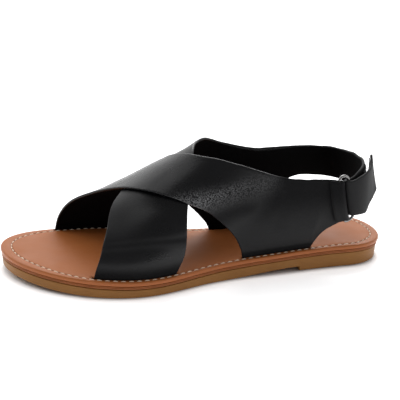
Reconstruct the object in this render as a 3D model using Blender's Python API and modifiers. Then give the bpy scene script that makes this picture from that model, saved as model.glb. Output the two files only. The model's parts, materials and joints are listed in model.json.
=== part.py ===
"""Flat crossed-strap sandal with a sling-back heel strap: the left shoe of a pair.

Metres, +Z up. +X points to the toe and +Y to the outer side of the foot. The origin is on the
floor, under the middle of the shoe. Tables and driving dimensions are in millimetres, measured
from the back of the heel; to_metres() brings them into the shoe's own frame.
"""
import math
from collections import namedtuple

import bmesh
import bpy
import numpy as np

# Driving dimensions of the shoe, millimetres
LENGTH = 251.5
CLEARANCE = 0.3
FOOTBED_THICKNESS = 2.8
MIDSOLE_THICKNESS = 1.9
LEATHER = 1.8

# Round ends of the sole's outline
HEEL_CAP = 30.6
HEEL_POWER = 2.18
TOE_CAP = 58.5
TOE_POWER = 2.05

# Underside: heel block, arch and toe spring
HEEL_BLOCK_FRONT = 63.5
HEEL_STEP_SLOPE = 0.5
ARCH_RISE = 2.8
ARCH_END = 118.0
SPRING_START = 180.0
TOE_SPRING = 4.1

# Last on which the straps are pulled
OUTER_FEATHER = 5.6
INNER_FEATHER = 6.5
SECTION_POWER = 2.2
HEEL_AXIS = 34.0
HEEL_BACK = 14.5

# Strap slots in the footbed
SLOT_END_ROOM = 0.6
SLOT_ANGLES = (-9.0, -4.5, 0.0, 4.5, 9.0)

# Ring and the folds of leather round its two bars
FOLD_RADIUS = 2.25
FOLD_STEPS = 8
RING_WIRE = 1.9
RING_END_STEPS = 8
RING_BAR_POINTS = 5
RING_LOW_MARGIN = -0.045
RING_LOW_BULGE = 0.4
RING_HIGH_MARGIN = 0.01

# Hook-and-loop patches under the free end of the heel strap
PILE_THICKNESS = 1.0
HOOK_THICKNESS = 0.8
PATCH_MARGIN = 0.08

# Mesh density
SECTION_SPACING = 6.0
STRAP_COLUMNS = 8
PATCH_COLUMNS = 4
HEEL_STATIONS = 10
WAIST_STATIONS = 24
TOE_STATIONS = 12
SLOT_POINTS = 13
RING_ROUNDNESS = 2
SHARP_ANGLE = 35.0
PROBE = 0.05

MM = 0.001

OutlineRow = namedtuple("OutlineRow", "station centre half_width")
OUTLINE = (
    OutlineRow(0.0, 0.4, 30.4),
    OutlineRow(37.5, -1.0, 30.8),
    OutlineRow(80.0, 3.0, 29.9),
    OutlineRow(125.0, 4.4, 34.1),
    OutlineRow(145.0, 4.0, 41.0),
    OutlineRow(165.0, 3.0, 47.0),
    OutlineRow(183.0, 0.9, 48.5),
    OutlineRow(200.0, -1.0, 46.3),
    OutlineRow(251.5, -12.4, 41.8),
)

TopRow = namedtuple("TopRow", "station height")
FOOTBED_TOP = (
    TopRow(0.0, 14.7),
    TopRow(45.0, 15.0),
    TopRow(112.5, 12.2),
    TopRow(170.0, 10.6),
    TopRow(212.5, 12.3),
    TopRow(251.5, 15.0),
)

# Each section of the last: its shift towards the inner side, and its ridge over the footbed
LastRow = namedtuple("LastRow", "station inward ridge")
LAST = (
    LastRow(0.0, 0.0, 150.0),
    LastRow(34.0, 0.0, 150.0),
    LastRow(60.0, 0.0, 140.0),
    LastRow(90.0, 1.5, 108.0),
    LastRow(110.0, 2.5, 85.0),
    LastRow(126.0, 3.0, 68.5),
    LastRow(140.0, 3.0, 60.5),
    LastRow(152.0, 3.0, 54.5),
    LastRow(171.0, 3.0, 44.2),
    LastRow(190.0, 3.0, 35.0),
    LastRow(215.0, 3.0, 28.2),
    LastRow(251.5, 3.0, 23.0),
)

# A strap's cut lines across its width. A station is millimetres ahead of the heel axis, and below
# zero it is the arc turned round the heel. An angle is degrees round the last, from the outer
# feather edge over the ridge to the inner one. A lift is the inner face's distance off the last.
StrapRow = namedtuple("StrapRow", "low_station low_angle high_station high_angle low_lift high_lift")

# Upper strap: inner forefoot, over the instep, outer quarter, bar of the ring
OVER_STRAP = (
    StrapRow(180.4, 183.6, 130.0, 183.6, 0.0, 0.0),
    StrapRow(178.5, 168.0, 128.5, 168.0, 0.0, 0.0),
    StrapRow(175.6, 156.0, 126.8, 152.0, 0.0, 0.0),
    StrapRow(170.5, 141.0, 124.0, 136.0, 0.0, 0.4),
    StrapRow(164.0, 125.0, 119.5, 121.0, 0.2, 1.2),
    StrapRow(155.0, 107.0, 112.5, 106.0, 1.0, 1.2),
    StrapRow(145.0, 89.0, 105.0, 92.0, 1.9, 1.2),
    StrapRow(133.8, 71.8, 97.0, 82.1, 2.9, 1.2),
    StrapRow(125.9, 64.0, 90.2, 77.5, 3.1, 0.5),
    StrapRow(118.6, 59.3, 82.5, 73.8, 3.0, 0.1),
    StrapRow(111.9, 56.4, 75.7, 71.4, 2.8, 0.0),
    StrapRow(105.2, 53.7, 69.3, 69.9, 2.2, 0.0),
    StrapRow(94.6, 50.3, 61.8, 68.2, 0.9, 0.0),
    StrapRow(87.5, 45.5, 55.3, 66.9, 0.1, 0.0),
    StrapRow(79.7, 37.2, 49.2, 65.7, 0.0, 0.0),
    StrapRow(74.2, 26.7, 44.1, 64.9, 0.0, 0.0),
    StrapRow(70.2, 10.3, 40.1, 64.3, 0.0, 0.0),
    StrapRow(68.0, -5.0, 36.5, 63.8, 0.0, 0.0),
    StrapRow(53.0, -5.0, 31.4, 63.4, 0.0, 0.0),
    StrapRow(38.0, -5.0, 26.3, 62.8, 0.0, 0.0),
    StrapRow(24.0, -5.0, 21.8, 62.5, 0.0, 0.0),
    StrapRow(21.5, 4.0, 18.9, 62.2, 0.0, 0.0),
    StrapRow(17.6, 15.8, 16.4, 62.0, 0.0, 0.0),
    StrapRow(12.9, 23.5, 13.4, 61.7, 0.0, 0.0),
    StrapRow(7.5, 28.0, 10.2, 61.4, 0.0, 0.0),
    StrapRow(3.0, 31.2, 7.4, 61.1, 0.0, 0.0),
    StrapRow(0.0, 35.0, 5.1, 60.8, 0.0, 0.0),
)
# Its end, folded back outside and sewn down
OVER_STRAP_RETURN = (
    StrapRow(2.4, 33.9, 8.4, 61.1, 3.6, 3.6),
    StrapRow(6.0, 32.2, 12.0, 61.5, 2.2, 2.2),
)

# Lower strap: outer forefoot, under the first, inner quarter, round the heel, bar of the ring
UNDER_STRAP = (
    StrapRow(165.4, -3.6, 116.8, -3.8, 0.0, 0.0),
    StrapRow(163.6, 5.6, 112.9, 5.6, 0.0, 0.0),
    StrapRow(160.7, 16.2, 109.6, 16.2, 0.0, 0.0),
    StrapRow(158.3, 26.0, 108.1, 27.4, 0.0, 0.0),
    StrapRow(155.0, 38.3, 107.2, 39.2, 0.0, 0.0),
    StrapRow(152.0, 53.3, 105.8, 50.9, 0.0, 0.0),
    StrapRow(148.1, 67.7, 103.0, 63.4, 0.0, 0.0),
    StrapRow(141.7, 81.2, 99.6, 76.6, 0.0, 0.0),
    StrapRow(135.5, 95.0, 96.5, 84.4, 0.0, 0.0),
    StrapRow(128.5, 107.0, 93.0, 92.5, 0.0, 0.0),
    StrapRow(120.0, 117.0, 89.5, 97.0, 0.0, 0.0),
    StrapRow(110.0, 126.5, 85.0, 99.8, 0.0, 0.0),
    StrapRow(101.3, 135.0, 79.5, 103.1, 0.0, 0.0),
    StrapRow(91.9, 145.0, 73.5, 105.5, 0.0, 0.0),
    StrapRow(85.6, 154.4, 69.0, 106.7, 0.0, 0.0),
    StrapRow(79.8, 167.7, 64.5, 107.7, 0.0, 0.0),
    StrapRow(75.2, 185.0, 60.0, 108.6, 0.0, 0.0),
    StrapRow(64.5, 185.2, 52.0, 110.0, 0.0, 0.0),
    StrapRow(54.0, 185.2, 45.0, 111.0, 0.0, 0.0),
    StrapRow(44.0, 185.2, 38.0, 111.5, 0.0, 0.0),
    StrapRow(40.0, 170.0, 32.5, 111.9, 0.0, 0.0),
    StrapRow(36.0, 155.0, 27.5, 112.2, 0.0, 0.0),
    StrapRow(31.5, 142.0, 22.5, 112.5, 0.0, 0.0),
    StrapRow(26.5, 132.0, 17.0, 112.8, 0.0, 0.0),
    StrapRow(21.0, 127.0, 12.0, 113.1, 0.0, 0.0),
    StrapRow(13.6, 126.0, 6.0, 113.4, 0.0, 0.0),
    StrapRow(1.5, 127.2, -3.0, 113.9, 0.0, 0.0),
    StrapRow(-8.0, 127.9, -11.6, 113.6, 0.0, 0.0),
    StrapRow(-18.0, 127.0, -21.5, 112.0, 0.0, 0.0),
    StrapRow(-28.0, 126.4, -31.0, 110.4, 0.0, 0.0),
    StrapRow(-38.0, 126.0, -41.0, 110.1, 0.0, 0.0),
    StrapRow(-48.0, 128.0, -51.5, 111.5, 0.0, 0.0),
    StrapRow(-58.0, 132.8, -62.5, 114.6, 0.0, 0.0),
    StrapRow(-70.9, 140.0, -74.8, 118.3, 0.0, 0.0),
)
# Its free end, turned back through the ring and standing off the heel
UNDER_STRAP_RETURN = (
    StrapRow(-63.6, 140.0, -67.1, 116.6, 4.6, 4.5),
    StrapRow(-59.2, 134.5, -61.6, 115.0, 4.7, 4.5),
    StrapRow(-51.6, 128.3, -54.1, 112.6, 7.0, 4.9),
    StrapRow(-44.2, 123.5, -46.1, 109.2, 11.0, 5.8),
)
# Stretch of the heel strap whose outer face carries the pile of the fastening
PILE_ROWS = (
    StrapRow(-38.0, 126.0, -41.0, 110.1, 0.0, 0.0),
    StrapRow(-48.0, 128.0, -51.5, 111.5, 0.0, 0.0),
    StrapRow(-57.0, 132.2, -60.5, 114.1, 0.0, 0.0),
)

# Ends of each slot, in stations, and the side of the footbed that it is on
Slot = namedtuple("Slot", "name rear front outer_side")
SLOTS = (
    Slot("slot_inner_forefoot", 129.5, 180.5, False),
    Slot("slot_outer_forefoot", 114.4, 165.5, True),
    Slot("slot_outer_quarter", 22.2, 69.0, True),
    Slot("slot_inner_quarter", 42.3, 76.6, False),
)

# A level of a sole layer: its inset from the outline under the heel and ahead of the arch, its
# share of the way from the layer's lower face to its upper face, and a further rise
Level = namedtuple("Level", "heel_inset fore_inset share rise")
FOOTBED_LEVELS = (
    Level(0.7, 0.7, 0.0, 0.0),
    Level(0.1, 0.1, 0.0, 0.6),
    Level(0.0, 0.0, 1.0, -1.0),
    Level(0.35, 0.35, 1.0, -0.3),
    Level(1.0, 1.0, 1.0, 0.0),
)
MIDSOLE_LEVELS = (
    Level(1.2, 1.1, 0.0, 0.0),
    Level(0.7, 0.6, 0.0, 0.5),
    Level(0.7, 0.6, 1.0, -0.5),
    Level(1.2, 1.1, 1.0, 0.0),
)
OUTSOLE_LEVELS = (
    Level(3.0, 1.8, 0.0, 0.0),
    Level(1.9, 0.9, 0.0, 0.7),
    Level(1.4, 0.7, 1.0, -1.6),
    Level(1.1, 0.6, 1.0, -0.6),
    Level(1.4, 0.9, 1.0, 0.0),
)

Finish = namedtuple("Finish", "colour roughness metallic")
BLACK_LEATHER = Finish((0.010, 0.010, 0.012), 0.42, 0.0)
TAN_LEATHER = Finish((0.36, 0.16, 0.08), 0.55, 0.0)
BROWN_BOARD = Finish((0.24, 0.09, 0.045), 0.5, 0.0)
GUM_RUBBER = Finish((0.26, 0.14, 0.05), 0.5, 0.0)
NICKEL = Finish((0.72, 0.71, 0.69), 0.2, 1.0)
BLACK_FIBRE = Finish((0.012, 0.012, 0.013), 0.95, 0.0)


def spline(table, column):
    """Return the natural cubic spline of one column of a table over its stations."""
    xs = np.array([row.station for row in table])
    ys = np.array([getattr(row, column) for row in table])
    gap = np.diff(xs)
    slope = np.diff(ys) / gap
    system = np.eye(len(xs))
    change = np.zeros(len(xs))
    for i in range(1, len(xs) - 1):
        system[i, i - 1:i + 2] = gap[i - 1], 2 * (gap[i - 1] + gap[i]), gap[i]
        change[i] = 6 * (slope[i] - slope[i - 1])
    bend = np.linalg.solve(system, change)

    def value(x):
        x = np.asarray(x, float)
        i = np.clip(np.searchsorted(xs, x) - 1, 0, len(gap) - 1)
        s = x - xs[i]
        lead = slope[i] - gap[i] * (2 * bend[i] + bend[i + 1]) / 6
        return ys[i] + s * (lead + s * (bend[i] / 2 + s * (bend[i + 1] - bend[i]) / (6 * gap[i])))

    return value


def steady_curve(xs, columns):
    """Return a cubic through rows of columns that never swings past the rows' own values."""
    xs = np.asarray(xs, float)
    ys = np.asarray(columns, float)
    gap = np.diff(xs)[:, None]
    slope = np.diff(ys, axis=0) / gap
    before, after = slope[:-1], slope[1:]
    near = 2 * gap[1:] + gap[:-1]
    far = gap[1:] + 2 * gap[:-1]
    same_way = before * after > 0
    lead = np.zeros_like(ys)
    lead[1:-1] = np.where(
        same_way, (near + far) * before * after / np.where(same_way, near * after + far * before, 1.0), 0.0)
    lead[0], lead[-1] = slope[0], slope[-1]

    def value(x):
        x = np.asarray(x, float).ravel()
        i = np.clip(np.searchsorted(xs, x) - 1, 0, len(gap) - 1)
        t = ((x - xs[i]) / gap[i, 0])[:, None]
        rest = 1 - t
        return (ys[i] * (1 + 2 * t) * rest ** 2 + lead[i] * gap[i] * t * rest ** 2
                + ys[i + 1] * t ** 2 * (3 - 2 * t) - lead[i + 1] * gap[i] * t ** 2 * rest)

    return value


outline_centre = spline(OUTLINE, "centre")
outline_half_width = spline(OUTLINE, "half_width")
footbed_top = spline(FOOTBED_TOP, "height")
last_rows = steady_curve([row.station for row in LAST], [(row.inward, row.ridge) for row in LAST])


def round_ends(x):
    """Return the share of its width that the outline keeps at x: 1, falling to 0 at heel and toe."""
    heel = np.clip((HEEL_CAP - x) / HEEL_CAP, 0, 1)
    toe = np.clip((x - LENGTH + TOE_CAP) / TOE_CAP, 0, 1)
    heel_share = (1 - heel ** HEEL_POWER) ** (1 / HEEL_POWER)
    return heel_share * (1 - toe ** TOE_POWER) ** (1 / TOE_POWER)


def arch_share(x):
    """Return the smooth share, 0 to 1, of the way from the heel block's front to the arch's end."""
    reach = np.clip((x - HEEL_BLOCK_FRONT) / (ARCH_END - HEEL_BLOCK_FRONT), 0, 1)
    return np.sin(reach * math.pi / 2) ** 2


def tread(x):
    """Return the height of the underside: heel block and ball on the floor, arch and toe raised."""
    arch = np.where(x > HEEL_BLOCK_FRONT, ARCH_RISE * (1 - arch_share(x)), 0.0)
    spring = np.clip((x - SPRING_START) / (LENGTH - SPRING_START), 0, 1)
    return arch + TOE_SPRING * spring ** 2


def midsole_top(x):
    """Return the height of the midsole's upper face."""
    return footbed_top(x) - FOOTBED_THICKNESS - CLEARANCE


def outsole_top(x):
    """Return the height of the outsole's upper face."""
    return midsole_top(x) - MIDSOLE_THICKNESS - CLEARANCE


def sole_stations():
    """Return stations from heel to toe, close together at the round ends and the heel's step."""
    heel = HEEL_CAP * (1 - np.cos(np.linspace(0, math.pi / 2, HEEL_STATIONS)))
    waist = np.linspace(HEEL_CAP, LENGTH - TOE_CAP, WAIST_STATIONS)
    toe = LENGTH - TOE_CAP + TOE_CAP * np.sin(np.linspace(0, math.pi / 2, TOE_STATIONS))
    step = HEEL_BLOCK_FRONT + HEEL_STEP_SLOPE * np.array([-0.5, 0.5])
    waist = waist[np.abs(waist - HEEL_BLOCK_FRONT) > HEEL_STEP_SLOPE]
    return np.unique(np.round(np.concatenate([heel, waist, step, toe]), 3))


def outline_loop(stations):
    """Return the outline as points from the heel up the outer side, over the toe and back."""
    half = outline_half_width(stations) * round_ends(stations)
    middle = outline_centre(stations)
    outer = np.stack([stations, middle + half], -1)
    inner = np.stack([stations, middle - half], -1)
    return np.concatenate([outer, inner[-2:0:-1]])


def outline_middle():
    """Return the middle of the sole's width, which the shoe's frame is centred on."""
    loop = outline_loop(sole_stations())
    return (loop[:, 1].min() + loop[:, 1].max()) / 2


FRAME_ORIGIN = np.array([LENGTH / 2, outline_middle(), 0.0])


def to_metres(points):
    """Turn millimetres from the back of the heel into metres in the shoe's frame."""
    return (np.asarray(points) - FRAME_ORIGIN) * MM


def last_point(station, angle):
    """Return points on the last, for arrays of stations and angles."""
    station, angle = np.broadcast_arrays(np.asarray(station, float), np.asarray(angle, float))
    x = HEEL_AXIS + np.maximum(station, 0)
    inward, ridge = last_rows(x).T.reshape(2, *x.shape)
    edge = outline_half_width(x) * round_ends(x)
    wide = np.where(angle <= 90, edge + inward - OUTER_FEATHER, edge - INNER_FEATHER)
    turn = np.maximum(-station, 0) / (outline_half_width(HEEL_AXIS) - INNER_FEATHER)
    deep = HEEL_AXIS - HEEL_BACK
    reach = superellipse(turn, wide, deep)
    side = np.where(angle <= 90, 1.0, -1.0)
    rise = np.radians(np.where(angle <= 90, angle, 180 - angle))
    radius = superellipse(rise, reach, ridge)
    across = radius * np.cos(rise)
    return np.stack([
        x - across * np.sin(turn),
        outline_centre(x) - inward + side * across * np.cos(turn),
        footbed_top(x) + radius * np.sin(rise),
    ], -1)


def superellipse(angle, along, up):
    """Return the radius at an angle of the superellipse with the given half axes."""
    share = (np.abs(np.cos(angle)) / along) ** SECTION_POWER + (np.abs(np.sin(angle)) / up) ** SECTION_POWER
    return share ** (-1 / SECTION_POWER)


def strap_point(station, angle, lift):
    """Return points that stand off the last by lift, along its outward normal."""
    ahead = last_point(station + PROBE, angle) - last_point(station - PROBE, angle)
    around = last_point(station, angle + PROBE) - last_point(station, angle - PROBE)
    normal = np.cross(around, ahead)
    normal /= np.linalg.norm(normal, axis=-1, keepdims=True)
    return last_point(station, angle) + np.asarray(lift)[..., None] * normal


def row_points(rows, share, depth):
    """Return the point at a share of each row's width, at a depth outside the leather's inner face."""
    low_station, low_angle, high_station, high_angle, low_lift, high_lift = np.asarray(rows, float).T
    station = low_station + share * (high_station - low_station)
    angle = low_angle + share * (high_angle - low_angle)
    lift = low_lift + share * (high_lift - low_lift)
    return strap_point(station, angle, lift + depth)


def with_fold(rows, returning):
    """Add to a strap's rows the half turn round its bar of the ring, and the rows that return."""
    last = rows[-1]
    turns = []
    for step in range(1, FOLD_STEPS + 1):
        turn = math.pi * step / FOLD_STEPS
        back = FOLD_RADIUS * math.sin(turn)
        out = FOLD_RADIUS * (1 - math.cos(turn))
        turns.append(last._replace(
            low_station=last.low_station - back, high_station=last.high_station - back,
            low_lift=last.low_lift + out, high_lift=last.high_lift + out))
    return rows + tuple(turns) + returning


def raised(rows, rise):
    """Return rows lifted further off the last."""
    return tuple(row._replace(low_lift=row.low_lift + rise, high_lift=row.high_lift + rise) for row in rows)


def close_rows(rows):
    """Return a strap's rows with steady rows put between them, no further apart than the spacing."""
    middle = row_points(rows, 0.5, LEATHER / 2)
    steps = np.linalg.norm(np.diff(middle, axis=0), axis=1)
    along = np.concatenate([[0], np.cumsum(steps)])
    curve = steady_curve(along, rows)
    marks = [along[:1]]
    for start, end, step in zip(along[:-1], along[1:], steps):
        parts = max(1, math.ceil(step / SECTION_SPACING))
        marks.append(np.linspace(start, end, parts + 1)[1:])
    return curve(np.concatenate(marks))


def new_object(name, mesh, collection, finish=None):
    """Add an object for a mesh to a collection, with its material."""
    thing = bpy.data.objects.new(name, mesh)
    collection.objects.link(thing)
    if finish is not None:
        material = bpy.data.materials.new(name)
        material.use_nodes = True
        shader = material.node_tree.nodes["Principled BSDF"]
        shader.inputs["Base Color"].default_value = (*finish.colour, 1.0)
        shader.inputs["Roughness"].default_value = finish.roughness
        shader.inputs["Metallic"].default_value = finish.metallic
        mesh.materials.append(material)
    return thing


def grid_mesh(name, points):
    """Return an open surface through a grid of points, millimetres, as a mesh in metres."""
    rows, columns = points.shape[:2]
    sheet = bmesh.new()
    bmesh.ops.create_grid(sheet, x_segments=columns - 1, y_segments=rows - 1, size=1.0)
    placed = to_metres(points)
    for vertex in sheet.verts:
        row = round((vertex.co.y + 1) / 2 * (rows - 1))
        column = round((vertex.co.x + 1) / 2 * (columns - 1))
        vertex.co = placed[row, column]
    mesh = bpy.data.meshes.new(name)
    sheet.to_mesh(mesh)
    sheet.free()
    mesh.shade_smooth()
    return mesh


def sheet_solid(name, points, thickness, collection, finish=None):
    """Make a leather or fabric piece: a surface through its middle, thickened with Solidify."""
    piece = new_object(name, grid_mesh(name, points), collection, finish)
    wall = piece.modifiers.new("wall", "SOLIDIFY")
    wall.thickness = thickness * MM
    wall.offset = 0.0
    wall.use_even_offset = True
    return piece


def strap_grid(rows, columns, thickness, margin=0.0):
    """Return the middle surface of a strap or patch as a grid of points."""
    shares = np.linspace(margin, 1 - margin, columns + 1)
    placed = close_rows(rows)
    return np.stack([row_points(placed, share, thickness / 2) for share in shares], 1)


def sole_layer(name, lower, upper, levels, collection, finish):
    """Loft a layer of the sole through its levels, each an inset copy of the outline."""
    stations = sole_stations()
    loop = outline_loop(stations)
    tangent = np.roll(loop, -1, 0) - np.roll(loop, 1, 0)
    tangent /= np.linalg.norm(tangent, axis=1, keepdims=True)
    inward = np.stack([tangent[:, 1], -tangent[:, 0]], -1)
    ring_stations = loop[:, 0]
    rings = []
    for level in levels:
        inset = level.heel_inset + (level.fore_inset - level.heel_inset) * arch_share(ring_stations)
        place = loop + inset[:, None] * inward
        height = lower(ring_stations) * (1 - level.share) + upper(ring_stations) * level.share + level.rise
        rings.append(np.column_stack([place, height]))
    count = len(loop)
    ahead = np.roll(np.arange(count), -1)
    faces = []
    for level in range(len(levels) - 1):
        base = level * count
        faces += [(base + i, base + count + i, base + count + j, base + j) for i, j in enumerate(ahead)]
    ends = len(stations) - 1
    top = (len(levels) - 1) * count
    for i in range(ends):
        mirror = [(count - k) % count for k in (i, i + 1)]
        quad = (i, i + 1, mirror[1], mirror[0])
        quad = tuple(dict.fromkeys(quad))
        faces.append(quad)
        faces.append(tuple(top + k for k in reversed(quad)))
    mesh = bpy.data.meshes.new(name)
    mesh.from_pydata(to_metres(np.concatenate(rings)).tolist(), [], faces)
    mesh.update()
    mesh.shade_smooth()
    mesh.set_sharp_from_angle(angle=math.radians(SHARP_ANGLE))
    return new_object(name, mesh, collection, finish)


def cut(piece, cutter):
    """Cut a hidden solid out of a piece."""
    boolean = piece.modifiers.new(cutter.name, "BOOLEAN")
    boolean.operation = "DIFFERENCE"
    boolean.object = cutter


def hide(helper):
    """Keep a helper solid out of the finished object."""
    helper.hide_render = True
    helper.display_type = "WIRE"


def make_sole(parts, helpers):
    """Make the outsole, the midsole and the footbed with its four strap slots."""
    sole_layer("outsole", tread, outsole_top, OUTSOLE_LEVELS, parts, GUM_RUBBER)
    sole_layer("midsole", lambda x: midsole_top(x) - MIDSOLE_THICKNESS, midsole_top,
               MIDSOLE_LEVELS, parts, BROWN_BOARD)
    footbed = sole_layer("footbed", lambda x: footbed_top(x) - FOOTBED_THICKNESS, footbed_top,
                         FOOTBED_LEVELS, parts, TAN_LEATHER)
    for slot in SLOTS:
        run = np.linspace(slot.rear - SLOT_END_ROOM, slot.front + SLOT_END_ROOM, SLOT_POINTS)
        angles = np.array(SLOT_ANGLES) if slot.outer_side else 180 - np.array(SLOT_ANGLES)
        points = np.stack([strap_point(run, np.full(run.shape, angle), np.full(run.shape, LEATHER / 2))
                           for angle in angles], 1)
        cutter = sheet_solid(slot.name, points, LEATHER + 2 * CLEARANCE, helpers)
        hide(cutter)
        cut(footbed, cutter)


def make_upper(parts, helpers):
    """Make the two crossed straps with their folded ends, and join them where they cross."""
    under = strap_grid(with_fold(UNDER_STRAP, UNDER_STRAP_RETURN), STRAP_COLUMNS, LEATHER)
    over = strap_grid(with_fold(OVER_STRAP, OVER_STRAP_RETURN), STRAP_COLUMNS, LEATHER)
    upper = sheet_solid("upper", under, LEATHER, parts, BLACK_LEATHER)
    helper = sheet_solid("over_strap", over, LEATHER, helpers)
    hide(helper)
    crossing = upper.modifiers.new("crossing", "BOOLEAN")
    crossing.operation = "UNION"
    crossing.object = helper


def ring_end(start, end, bulge):
    """Return the points of a half ellipse from one bar's end to the other's, without those ends."""
    turns = np.linspace(0, math.pi, RING_END_STEPS + 1)[1:-1]
    middle = (start + end) / 2
    across = (start - end) / 2
    return middle + np.outer(np.cos(turns), across) + np.outer(np.sin(turns), bulge * np.linalg.norm(across))


def make_fastening(parts):
    """Make the ring, and the two patches that hold the heel strap's free end."""
    depth = LEATHER / 2 + FOLD_RADIUS
    shares = np.linspace(RING_LOW_MARGIN, 1 - RING_HIGH_MARGIN, RING_BAR_POINTS)
    front_bar, rear_bar = [np.array([row_points((rows[-1],), share, depth)[0] for share in shares])
                           for rows in (OVER_STRAP, UNDER_STRAP)]
    upward = front_bar[-1] - front_bar[0]
    upward /= np.linalg.norm(upward)
    path = np.concatenate([
        front_bar, ring_end(front_bar[-1], rear_bar[-1], upward),
        rear_bar[::-1], ring_end(rear_bar[0], front_bar[0], -RING_LOW_BULGE * upward)])
    wire = bpy.data.curves.new("ring", "CURVE")
    wire.dimensions = "3D"
    wire.bevel_depth = RING_WIRE / 2 * MM
    wire.bevel_resolution = RING_ROUNDNESS
    run = wire.splines.new("POLY")
    run.points.add(len(path) - 1)
    for point, place in zip(run.points, to_metres(path)):
        point.co = (*place, 1.0)
    run.use_cyclic_u = True
    new_object("ring", wire, parts, NICKEL)

    pile_rows = raised(PILE_ROWS, LEATHER + CLEARANCE)
    pile = strap_grid(pile_rows, PATCH_COLUMNS, PILE_THICKNESS, PATCH_MARGIN)
    sheet_solid("pile_patch", pile, PILE_THICKNESS, parts, BLACK_FIBRE)
    hook_rows = raised(UNDER_STRAP_RETURN, -CLEARANCE - HOOK_THICKNESS)
    hook = strap_grid(hook_rows, PATCH_COLUMNS, HOOK_THICKNESS, PATCH_MARGIN)
    sheet_solid("hook_patch", hook, HOOK_THICKNESS, parts, BLACK_FIBRE)


def main():
    """Build the sandal in an empty scene."""
    for thing in list(bpy.data.objects):
        bpy.data.objects.remove(thing, do_unlink=True)
    parts = bpy.data.collections.new("flat_sandal")
    helpers = bpy.data.collections.new("cutters")
    for collection in (parts, helpers):
        bpy.context.scene.collection.children.link(collection)
    make_sole(parts, helpers)
    make_upper(parts, helpers)
    make_fastening(parts)


main()
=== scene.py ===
"""Looks of a flat crossed-strap sandal, the left shoe of a pair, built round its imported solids.

Tables and fields are in millimetres, measured from the back of the heel, unless they say metres.
SolePlan.metres() brings them into the frame of the solids: +X to the toe, +Y to the outer side of
the foot, +Z up, origin on the floor under the middle of the shoe.
"""
from __future__ import annotations

import sys

import json
import logging
import math
from dataclasses import dataclass, field
from enum import Enum, IntEnum
from typing import Mapping, NamedTuple, Sequence

import bmesh
import bpy
import numpy as np
from mathutils import Matrix

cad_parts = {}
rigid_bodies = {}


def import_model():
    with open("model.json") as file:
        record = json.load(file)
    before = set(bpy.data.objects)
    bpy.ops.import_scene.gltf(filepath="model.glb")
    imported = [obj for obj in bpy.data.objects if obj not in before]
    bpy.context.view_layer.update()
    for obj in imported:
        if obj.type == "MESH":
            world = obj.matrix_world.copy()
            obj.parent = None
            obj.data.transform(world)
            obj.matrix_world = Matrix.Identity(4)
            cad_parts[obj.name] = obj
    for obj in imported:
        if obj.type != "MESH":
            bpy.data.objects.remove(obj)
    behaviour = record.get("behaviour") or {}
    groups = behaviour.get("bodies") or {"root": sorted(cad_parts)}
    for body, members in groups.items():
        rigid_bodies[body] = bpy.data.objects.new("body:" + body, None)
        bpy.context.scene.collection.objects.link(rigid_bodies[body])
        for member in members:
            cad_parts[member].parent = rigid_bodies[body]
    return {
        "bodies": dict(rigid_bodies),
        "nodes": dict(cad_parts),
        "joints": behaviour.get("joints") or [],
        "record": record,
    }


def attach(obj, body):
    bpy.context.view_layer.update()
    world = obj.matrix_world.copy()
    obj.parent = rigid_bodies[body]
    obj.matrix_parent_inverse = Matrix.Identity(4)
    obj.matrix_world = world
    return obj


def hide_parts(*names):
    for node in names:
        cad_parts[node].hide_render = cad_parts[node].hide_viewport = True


LOG = logging.getLogger("sandal")
MM = 0.001
BODY = "root"
WELD = 1e-7
TINY = 1e-6
UPWARD = (0.0, 0.0, 1.0)
LEATHER = 1.8
FOLD_RADIUS = 2.25
NOISE_SPAN = (0.3, 0.7)
Colour = tuple[float, float, float]


class OutlineRow(NamedTuple):
    """One station of the sole's outline from above."""

    station: float
    centre: float
    half_width: float


class HeightRow(NamedTuple):
    """Height of the footbed's upper face at a station."""

    station: float
    height: float


class LastRow(NamedTuple):
    """A section of the last: its shift to the inner side, and its ridge over the footbed."""

    station: float
    inward: float
    ridge: float


class StrapRow(NamedTuple):
    """A cut line across a strap, from its low edge to its high edge, on the last."""

    low_station: float
    low_angle: float
    high_station: float
    high_angle: float
    low_lift: float = 0.0
    high_lift: float = 0.0


class StitchRow(NamedTuple):
    """How far the footbed's seam runs inside the outline at a station, on each side."""

    station: float
    outer: float
    inner: float


class RimLevel(NamedTuple):
    """A level of a sole layer's side: insets under the heel and ahead of the arch, share of the
    way from the lower face to the upper one, and a further rise."""

    heel_inset: float
    fore_inset: float
    share: float
    rise: float


class BedLevel(NamedTuple):
    """A level of the footbed's side and top: its inset, whether that is measured from the seam,
    its share of the thickness, a further rise, and how far it belongs to the rim and the groove."""

    inset: float
    from_seam: float
    share: float
    rise: float
    rim: float
    groove: float


class Side(Enum):
    """A side of the foot."""

    OUTER = 1
    INNER = -1


class Slot(NamedTuple):
    """A strap slot in the footbed: its rear and front stations on the last, and its side."""

    rear: float
    front: float
    side: Side


class Mark(NamedTuple):
    """A soft line across a strap: where it starts along the strap, its half width, its strength,
    where over the width it starts to fade and is gone, and its slope and curve over the width."""

    start: float
    half: float
    strength: float
    fade: float
    gone: float
    slope: float = 0.0
    curve: float = 0.0


class Wave(NamedTuple):
    """A wave of a strap's faint ripple: its weight, its run along and over the strap to one radian,
    and its phase."""

    weight: float
    along: float
    over: float
    phase: float


class Mottle(NamedTuple):
    """A finish's two colours, its patches to a metre, and the most of the second colour that shows."""

    base: Colour
    patch: Colour
    scale: float
    amount: float


class Coat(IntEnum):
    """Which finish of a strap a face takes."""

    LEATHER = 0
    LINING = 1


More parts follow.
